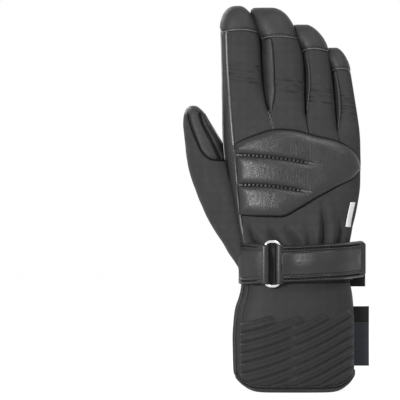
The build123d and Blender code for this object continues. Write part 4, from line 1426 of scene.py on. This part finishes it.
def make_flap():
    """The closure flap over the palm side of the cuff, with its bound edge, stitches and hook patch."""
    low, high = box("cuff_flap")
    left, right = low.x - 3.5, high.x + 1.0
    bottom, top = low.z, high.z + 1.6
    v = np.linspace(0.0, 1.0, 70)[:, None]
    u = np.linspace(0.0, 1.0, 110)[None, :]
    inset = FLAP_ROUND * dome(np.clip((u * (right - left) - (right - left - FLAP_ROUND)) / FLAP_ROUND, 0, 1))
    top = top - FLAP_TAPER * u
    z = bottom + inset * 0.9 + (top - bottom - 1.8 * inset) * v
    x = left + (right - left) * u + 0 * v
    points = on_cuff(x, z, 2.0 + 0 * x)
    height = 3.6 + edge_roll(points, ("right", "low", "high"), 2.4, 1.6)
    height += uneven(points, "flap")
    edge = np.minimum(np.minimum(z - bottom - inset * 0.9, top - inset * 0.9 - z), right - x)
    height += 0.7 * bell(edge - 1.6, 0.8) - 0.7 * bell(edge - 3.2, 0.5)
    hinge = ease((x - left) / 5.0)
    points = on_cuff(x, z, 0.6 + (height - 0.6) * hinge)
    obj = make_panel("closure_flap", points, "cuff", flip=True, thickness=1.7)
    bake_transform(obj)
    dress(("cuff_flap",))
    shapes = []
    for row in range(4):
        zs = np.linspace(18.0, 42.0, 40)
        xs = 31.5 + row * 1.5 + 0.5 * np.sin(zs * 1.3 + row)
        shapes += stitches(on_cuff(xs, zs, 3.75 + 0 * xs), 2.1, 1.4, 0.25)
    fit_shapes("closure_flap_stitches", shapes, "piping", "cuff_flap")
    for node in ("cuff_flap_hook_patch", "loop_patches", "strap_hook_patch"):
        paint(node, "hook_and_loop")


# ---------------------------------------------------------------- wrist strap
WRIST_BACK = -22.0
WRIST_CORNER = 20.7
WRIST_FAR = 55.0


def wrist_path(start_x, turn, free, stand_off, count):
    """A path in X and Y along the back of the wrist and round its far corner by a turn, with its normals."""
    corner_x = WRIST_FAR - WRIST_CORNER
    run_flat = corner_x - start_x
    radius = WRIST_CORNER + stand_off
    run_arc = radius * turn
    s = np.linspace(0.0, run_flat + run_arc + free, count)
    angle = np.clip((s - run_flat) / radius, 0.0, turn)
    past = np.clip(s - run_flat - run_arc, 0.0, None)
    x = np.where(s < run_flat, start_x + s, corner_x + radius * np.sin(angle)) + past * np.cos(angle)
    y = np.where(s < run_flat, WRIST_BACK - stand_off, WRIST_BACK + WRIST_CORNER - radius * np.cos(angle))
    y = y + past * np.sin(angle)
    normal = np.stack([np.sin(angle), -np.cos(angle)], axis=-1)
    return s, np.stack([x, y], axis=-1), normal


def leather_band(path, normal, half, mid_z, share=1.0, left=None):
    """The face of a bound leather band along a path. Left is how far each place lies from a bound end."""
    across = np.linspace(-1.0, 1.0, 110)[:, None]
    z = mid_z + across * half
    gap = (1 - np.abs(across)) * half
    if left is not None:
        gap = np.minimum(gap, left)
    height = bound_edge(gap) * share
    xy = path[None] + normal[None] * height[..., None]
    return np.concatenate([xy, z[..., None]], axis=-1)


# the two beads beside a strap's edge: height, distance from the edge and width
STRAP_BEADS = ((1.3, 1.4, 0.8), (1.2, 3.7, 0.75))


def bound_edge(gap):
    """A strap's face: a round bound edge, a stitched groove and a slightly full middle."""
    beads = sum(high * bell(gap - at, width) for high, at, width in STRAP_BEADS)
    middle = 0.7 * ease((gap - 5.0) / 1.2) + 1.0 * ease((gap - 5.0) / 8.0)
    return beads + middle - 0.9 * (gap < 0.2)


# how much the tab climbs for each millimetre of its run
STRAP_TILT = 0.052
TAB_TURN = math.radians(50)
TAB_FREE = 20.0
TAB_STAND_OFF = 4.0
# the tab stands off more at its hinge and over its arch
TAB_HINGE_RISE, TAB_HINGE_RUN = 1.9, 5.0
TAB_ARCH_RISE, TAB_ARCH_RUN = 2.5, 52.0
STITCH_INSET = 2.55
RING_WIRE_RADIUS = 1.2
TAB_END_RADIUS = 5.0


def band_stitches(name, path, mid_z, half, start, radius, body):
    """A line of stitches along each edge of a leather band."""
    shapes = []
    for side in (-1, 1):
        level = (mid_z + side * (half - STITCH_INSET)) + np.zeros(len(path))
        line = np.concatenate([path, level[:, None]], axis=1)
        shapes += stitches(line[start:-14], 2.6, 1.7, radius)
    fit_shapes(name, shapes, "thread", body)


def make_strap():
    """The wrist strap: its sewn anchor, base, opening tab with a bound edge, and the buckle ring."""
    low, high = box("buckle_ring")
    ring_mid, bar_y = (low.x + high.x) / 2, (low.y + high.y) / 2
    bar = (high.x - low.x) / 2 - RING_WIRE_RADIUS
    low, high = box("strap_tab")
    mid_z = (low.z + high.z) / 2
    half = (high.z - low.z) / 2 - 0.5
    s, path, normal = wrist_path(ring_mid + bar + RING_WIRE_RADIUS, TAB_TURN, TAB_FREE, TAB_STAND_OFF, 150)
    slope = mid_z - 0.5 + STRAP_TILT * s
    arch = np.sin(math.pi * np.clip(s / TAB_ARCH_RUN, 0.0, 1.0)) ** 2
    rise = TAB_HINGE_RISE * bell(s, TAB_HINGE_RUN) + TAB_ARCH_RISE * arch
    left = s[-1] - s
    rounded = half - TAB_END_RADIUS * dome(np.clip(1 - left / TAB_END_RADIUS, 0.0, 1.0))
    points = leather_band(path + normal * rise[:, None], normal, rounded, slope, left=left)
    tab = make_panel("strap_tab_leather", points, "strap", thickness=2.2)
    fit(tab, "strap_tab", "strap_leather", "strap_tab")
    seam = path + normal * (rise + 0.5)[:, None]
    band_stitches("strap_tab_stitches", seam, slope, half, 3, 0.3, "strap_tab")
    make_fold("strap_tab_fold", ring_mid + bar, bar_y, mid_z - 0.5, half + 0.9, "strap_tab", 1)
    make_fold("strap_anchor_fold", ring_mid - bar, bar_y, mid_z - 0.5, half + 0.9, "hand", -1)
    make_anchor(ring_mid - bar, bar_y, mid_z)
    paint("strap_base", "webbing")
    paint("buckle_ring", "chrome")


FOLD_RADIUS = 3.3
FOLD_BULGE = 0.35


def make_fold(name, bar_x, bar_y, mid_z, half, body, side):
    """The leather folded round one bar of the buckle ring, open towards the strap it belongs to."""
    turn = np.linspace(-0.86 * math.pi, 0.86 * math.pi, 40)
    across = np.linspace(-1.0, 1.0, 26)[:, None]
    reach = FOLD_RADIUS + FOLD_BULGE * (1 - across ** 2)
    points = np.stack(np.broadcast_arrays(bar_x - side * reach * np.cos(turn), bar_y - reach * np.sin(turn),
                                          mid_z + half * across), axis=-1)
    obj = make_panel(name, points, "strap", thickness=1.1, flip=side < 0)
    fit(obj, body, "strap_leather")


# the anchor rises to the ring's bar over a run, and gets narrower and flatter there
ANCHOR_LIFT_RUN = 14.0
ANCHOR_NARROWING = 1.2
ANCHOR_FLATTENING = 0.45


def make_anchor(bar_x, bar_y, mid_z):
    """The strap's sewn anchor between the thumb side and the ring."""
    low, high = box("strap_anchor")
    left = low.x + 0.5
    half = (high.z - low.z) / 2
    s = np.linspace(0.0, bar_x - left, 60)
    x = left + s
    y = -hand_depth_at(x, np.full(60, mid_z)) - 2.4
    lift_to_bar = ease((x - bar_x + ANCHOR_LIFT_RUN + 1.0) / ANCHOR_LIFT_RUN)
    y = y + (bar_y - 2.3 - y) * lift_to_bar
    path = np.stack([x, y], axis=-1)
    tangent = unit(np.gradient(path, axis=0))
    normal = np.stack([tangent[:, 1], -tangent[:, 0]], axis=-1)
    narrow = half - ANCHOR_NARROWING * lift_to_bar
    points = leather_band(path, normal, narrow, mid_z, 1 - ANCHOR_FLATTENING * lift_to_bar)
    anchor = make_panel("strap_anchor_leather", points, "palm", thickness=1.8)
    fit(anchor, "hand", "strap_leather", "strap_anchor")
    band_stitches("strap_anchor_stitches", path + normal * 0.5, mid_z, narrow, 2, 0.25, "hand")


# ---------------------------------------------------------------- small trim
def make_label():
    """The bare two-tone label folded into the far side seam of the cuff."""
    low, high = box("label_tab")
    z = np.linspace(low.z, high.z, 60)[:, None]
    share = np.linspace(0.0, 1.0, 24)[None, :]
    left = low.x - 1.0
    split = low.z + 32.0
    x = left + (high.x - left) * share + 0 * z
    wave = 0.7 * np.sin((z - 18) / 14.0) * share
    front = np.stack([x, -0.55 + wave, z + 0 * x], axis=-1)
    for name, finish, keep, nodes in (("label_upper", "webbing", lambda p: p[:, 2] > split, ()),
                                      ("label_lower", "label", lambda p: p[:, 2] <= split, ("label_tab",))):
        fit(make_panel(name, front, finish, thickness=0.9, keep=keep), "hand", "label_cloth", *nodes)


def make_hanging_loop():
    """The webbing loop at the far side of the wrist."""
    low, high = box("hanging_loop")
    mid_y = (low.y + high.y) / 2
    half_gap = (high.y - low.y) / 2 - 0.5
    reach = high.x - 0.5 - half_gap
    start = 50.0
    turn = np.linspace(-math.pi / 2, math.pi / 2, 24)
    arc = np.stack([reach + half_gap * np.cos(turn), mid_y + half_gap * np.sin(turn)], axis=-1)
    path = np.concatenate([np.linspace((start, mid_y - half_gap), arc[0], 12)[:-1], arc,
                           np.linspace(arc[-1], (start, mid_y + half_gap), 12)[1:]])
    z = np.linspace(low.z, high.z, 16)[:, None]
    points = np.stack(np.broadcast_arrays(path[:, 0], path[:, 1], z), axis=-1)
    obj = make_panel("hanging_loop_webbing", points, "webbing", thickness=1.0)
    fit(obj, "hand", "webbing", "hanging_loop")


def make_reflective_strip():
    """A plain reflective strip on the far side of the back."""
    low, high = box("reflective_strip")
    v = np.linspace(0.0, 1.0, 30)[:, None]
    u = np.linspace(0.0, 1.0, 8)[None, :]
    lean = 4.1
    x = low.x + lean * v + (high.x - low.x - lean) * u
    z = low.z + (high.z - low.z) * v + 0 * u
    base = on_hand(x, z)
    swell = np.clip(fold_heights(base), 0.0, None) + uneven(base, "hand_back")
    points = on_hand(x, z, False, 0.8 + swell)
    fit(make_panel("reflective_tape", points, "reflective", thickness=0.5), "hand", "reflective",
        "reflective_strip")


def make_pair_hook():
    """The metal pair hook and its webbing tab keep their frame shapes, with rounded edges on the hook."""
    hook = frame["nodes"]["pair_hook"]
    rounding = hook.modifiers.new("Rounding", "BEVEL")
    rounding.width = 0.45 * MM
    rounding.segments = 3
    paint("pair_hook", "chrome")
    paint("pair_hook_tab", "webbing")


# ---------------------------------------------------------------- stage
FLOOR_REACH = 3.0
WHITE = (1.0, 1.0, 1.0, 1.0)
LAMPS = {
    # place and width in metres, power in watts
    "key_lamp": ((-0.66, -1.05, 0.36), 0.27, 12.0),
    "top_lamp": ((0.45, -0.75, 1.05), 0.5, 5.6),
    "rim_lamp": ((-0.6, 0.8, 0.8), 0.6, 6.5),
}


def make_stage():
    """A plain pale floor, soft lamps, a pale world and the camera."""
    scene = bpy.context.scene
    scene.view_settings.view_transform = "Standard"
    mesh = bpy.data.meshes.new("floor")
    corners = [(-FLOOR_REACH, -FLOOR_REACH, 0), (FLOOR_REACH, -FLOOR_REACH, 0),
               (FLOOR_REACH, FLOOR_REACH, 0), (-FLOOR_REACH, FLOOR_REACH, 0)]
    mesh.from_pydata(corners, [], [(0, 1, 2, 3)])
    floor = bpy.data.objects.new("floor", mesh)
    scene.collection.objects.link(floor)
    floor_material = bpy.data.materials.new("Matt painted floor")
    floor_material.use_nodes = True
    tree = floor_material.node_tree
    tree.nodes.clear()
    diffuse = add_node(tree, "ShaderNodeBsdfDiffuse", {"Color": (0.8, 0.8, 0.8, 1.0)})
    glow = add_node(tree, "ShaderNodeEmission", {"Color": WHITE, "Strength": 1.2})
    mix = add_node(tree, "ShaderNodeMixShader", {}, {0: seen_directly(tree, 0.78), 1: diffuse.outputs[0],
                                                     2: glow.outputs[0]})
    add_node(tree, "ShaderNodeOutputMaterial", links={"Surface": mix.outputs[0]})
    mesh.materials.append(floor_material)
    world = bpy.data.worlds.new("Studio")
    scene.world = world
    world.use_nodes = True
    tree = world.node_tree
    tree.nodes.clear()
    soft = add_node(tree, "ShaderNodeBackground", {"Color": WHITE, "Strength": 0.32})
    white = add_node(tree, "ShaderNodeBackground", {"Color": WHITE, "Strength": 1.0})
    mix = add_node(tree, "ShaderNodeMixShader", {}, {0: seen_directly(tree, 1.0), 1: soft.outputs[0],
                                                     2: white.outputs[0]})
    add_node(tree, "ShaderNodeOutputWorld", links={"Surface": mix.outputs[0]})
    for name, lamp in LAMPS.items():
        make_lamp(name, *lamp)
    make_camera()


def seen_directly(tree, share):
    """A factor that is the share for camera, glossy and transmission rays, and 0 for the rest."""
    path = add_node(tree, "ShaderNodeLightPath")
    two = add_node(tree, "ShaderNodeMath", {"operation": "MAXIMUM"},
                   {0: path.outputs["Is Camera Ray"], 1: path.outputs["Is Glossy Ray"]})
    three = add_node(tree, "ShaderNodeMath", {"operation": "MAXIMUM"},
                     {0: two.outputs[0], 1: path.outputs["Is Transmission Ray"]})
    part = add_node(tree, "ShaderNodeMath", {"operation": "MULTIPLY", 1: share}, {0: three.outputs[0]})
    return part.outputs[0]


def make_lamp(name, place, width, power):
    """A square soft lamp that looks at the middle of the glove."""
    data = bpy.data.lights.new(name, "AREA")
    data.energy = power
    data.size = width
    lamp = bpy.data.objects.new(name, data)
    bpy.context.scene.collection.objects.link(lamp)
    lamp.location = place
    middle = (CAD_BOX[0] + CAD_BOX[1]) / 2
    lamp.rotation_euler = (middle - Vector(place)).to_track_quat("-Z", "Y").to_euler()


FRAME_WIDTH = 296.0
VIEW_X = -56.2
VIEW_Z = 140.6
LENS = 220.0


def make_camera():
    """A long lens that looks level at the back of the hand, with the glove right of the middle."""
    data = bpy.data.cameras.new("camera")
    data.lens = LENS
    data.sensor_width = 36.0
    data.clip_end = 50.0
    camera = bpy.data.objects.new("camera", data)
    bpy.context.scene.collection.objects.link(camera)
    distance = FRAME_WIDTH * MM * data.lens / data.sensor_width
    camera.location = (VIEW_X * MM, -distance, VIEW_Z * MM)
    camera.rotation_euler = (math.pi / 2, 0, 0)
    bpy.context.scene.camera = camera


# ---------------------------------------------------------------- operators
class GLOVE_OT_stage(bpy.types.Operator):
    """Make the floor, lamps, world and camera"""
    bl_idname = "glove.stage"
    bl_label = "Stage"

    def execute(self, context):
        make_stage()
        return {"FINISHED"}


class GLOVE_OT_materials(bpy.types.Operator):
    """Make every material of the glove"""
    bl_idname = "glove.materials"
    bl_label = "Materials"

    def execute(self, context):
        make_materials()
        return {"FINISHED"}


class GLOVE_OT_fingers(bpy.types.Operator):
    """Make the four fingers and the piping down the index finger"""
    bl_idname = "glove.fingers"
    bl_label = "Fingers"

    def execute(self, context):
        fingers = read_fingers()
        for finger in fingers:
            make_finger_panels(finger)
            make_finger_cap(finger)
        make_piping(fingers)
        return {"FINISHED"}


class GLOVE_OT_hand(bpy.types.Operator):
    """Make the back panel, side strip and palm leather of the hand"""
    bl_idname = "glove.hand"
    bl_label = "Hand panels"

    def execute(self, context):
        make_hand()
        make_reflective_strip()
        return {"FINISHED"}


class GLOVE_OT_knuckle_pad(bpy.types.Operator):
    """Make the quilted knuckle pad"""
    bl_idname = "glove.knuckle_pad"
    bl_label = "Knuckle pad"

    def execute(self, context):
        make_knuckle_pad()
        return {"FINISHED"}


class GLOVE_OT_palm_grip(bpy.types.Operator):
    """Make the dotted grip of the palm"""
    bl_idname = "glove.palm_grip"
    bl_label = "Palm grip"

    def execute(self, context):
        make_grip()
        return {"FINISHED"}


class GLOVE_OT_thumb(bpy.types.Operator):
    """Make the thumb"""
    bl_idname = "glove.thumb"
    bl_label = "Thumb"

    def execute(self, context):
        make_thumb()
        return {"FINISHED"}


class GLOVE_OT_cuff(bpy.types.Operator):
    """Make the cuff, its hem, lining and elastic"""
    bl_idname = "glove.cuff"
    bl_label = "Cuff"

    def execute(self, context):
        make_cuff()
        return {"FINISHED"}


class GLOVE_OT_closure_flap(bpy.types.Operator):
    """Make the closure flap on the palm side of the cuff"""
    bl_idname = "glove.closure_flap"
    bl_label = "Closure flap"

    def execute(self, context):
        make_flap()
        return {"FINISHED"}


class GLOVE_OT_wrist_strap(bpy.types.Operator):
    """Make the wrist strap, its anchor and its buckle ring"""
    bl_idname = "glove.wrist_strap"
    bl_label = "Wrist strap"

    def execute(self, context):
        make_strap()
        return {"FINISHED"}


class GLOVE_OT_trim(bpy.types.Operator):
    """Make the label, the hanging loop and the pair hook"""
    bl_idname = "glove.trim"
    bl_label = "Label, loop and hook"

    def execute(self, context):
        make_label()
        make_hanging_loop()
        make_pair_hook()
        return {"FINISHED"}


OPERATORS = (GLOVE_OT_stage, GLOVE_OT_materials, GLOVE_OT_fingers, GLOVE_OT_hand, GLOVE_OT_knuckle_pad,
             GLOVE_OT_palm_grip, GLOVE_OT_thumb, GLOVE_OT_cuff, GLOVE_OT_closure_flap, GLOVE_OT_wrist_strap,
             GLOVE_OT_trim)


class GLOVE_PT_build(bpy.types.Panel):
    """The glove's sizes, colours and build steps"""
    bl_label = "Ski glove"
    bl_idname = "GLOVE_PT_build"
    bl_space_type = "VIEW_3D"
    bl_region_type = "UI"
    bl_category = "Glove"

    def draw(self, context):
        layout = self.layout
        for group in (context.scene.glove_sizes, context.scene.glove_colours):
            box = layout.box()
            for name in group.__annotations__:
                box.prop(group, name)
        for operator in OPERATORS:
            layout.operator(operator.bl_idname)


CLASSES = (GloveSizes, GloveColours) + OPERATORS + (GLOVE_PT_build,)


def register():
    for cls in CLASSES:
        bpy.utils.register_class(cls)
    bpy.types.Scene.glove_sizes = PointerProperty(type=GloveSizes)
    bpy.types.Scene.glove_colours = PointerProperty(type=GloveColours)


def unregister():
    del bpy.types.Scene.glove_colours
    del bpy.types.Scene.glove_sizes
    for cls in reversed(CLASSES):
        bpy.utils.unregister_class(cls)


def main():
    """Register the add-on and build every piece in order."""
    register()
    for operator in OPERATORS:
        getattr(bpy.ops.glove, operator.bl_idname.split(".")[1])()


if __name__ == "__main__":
    main()
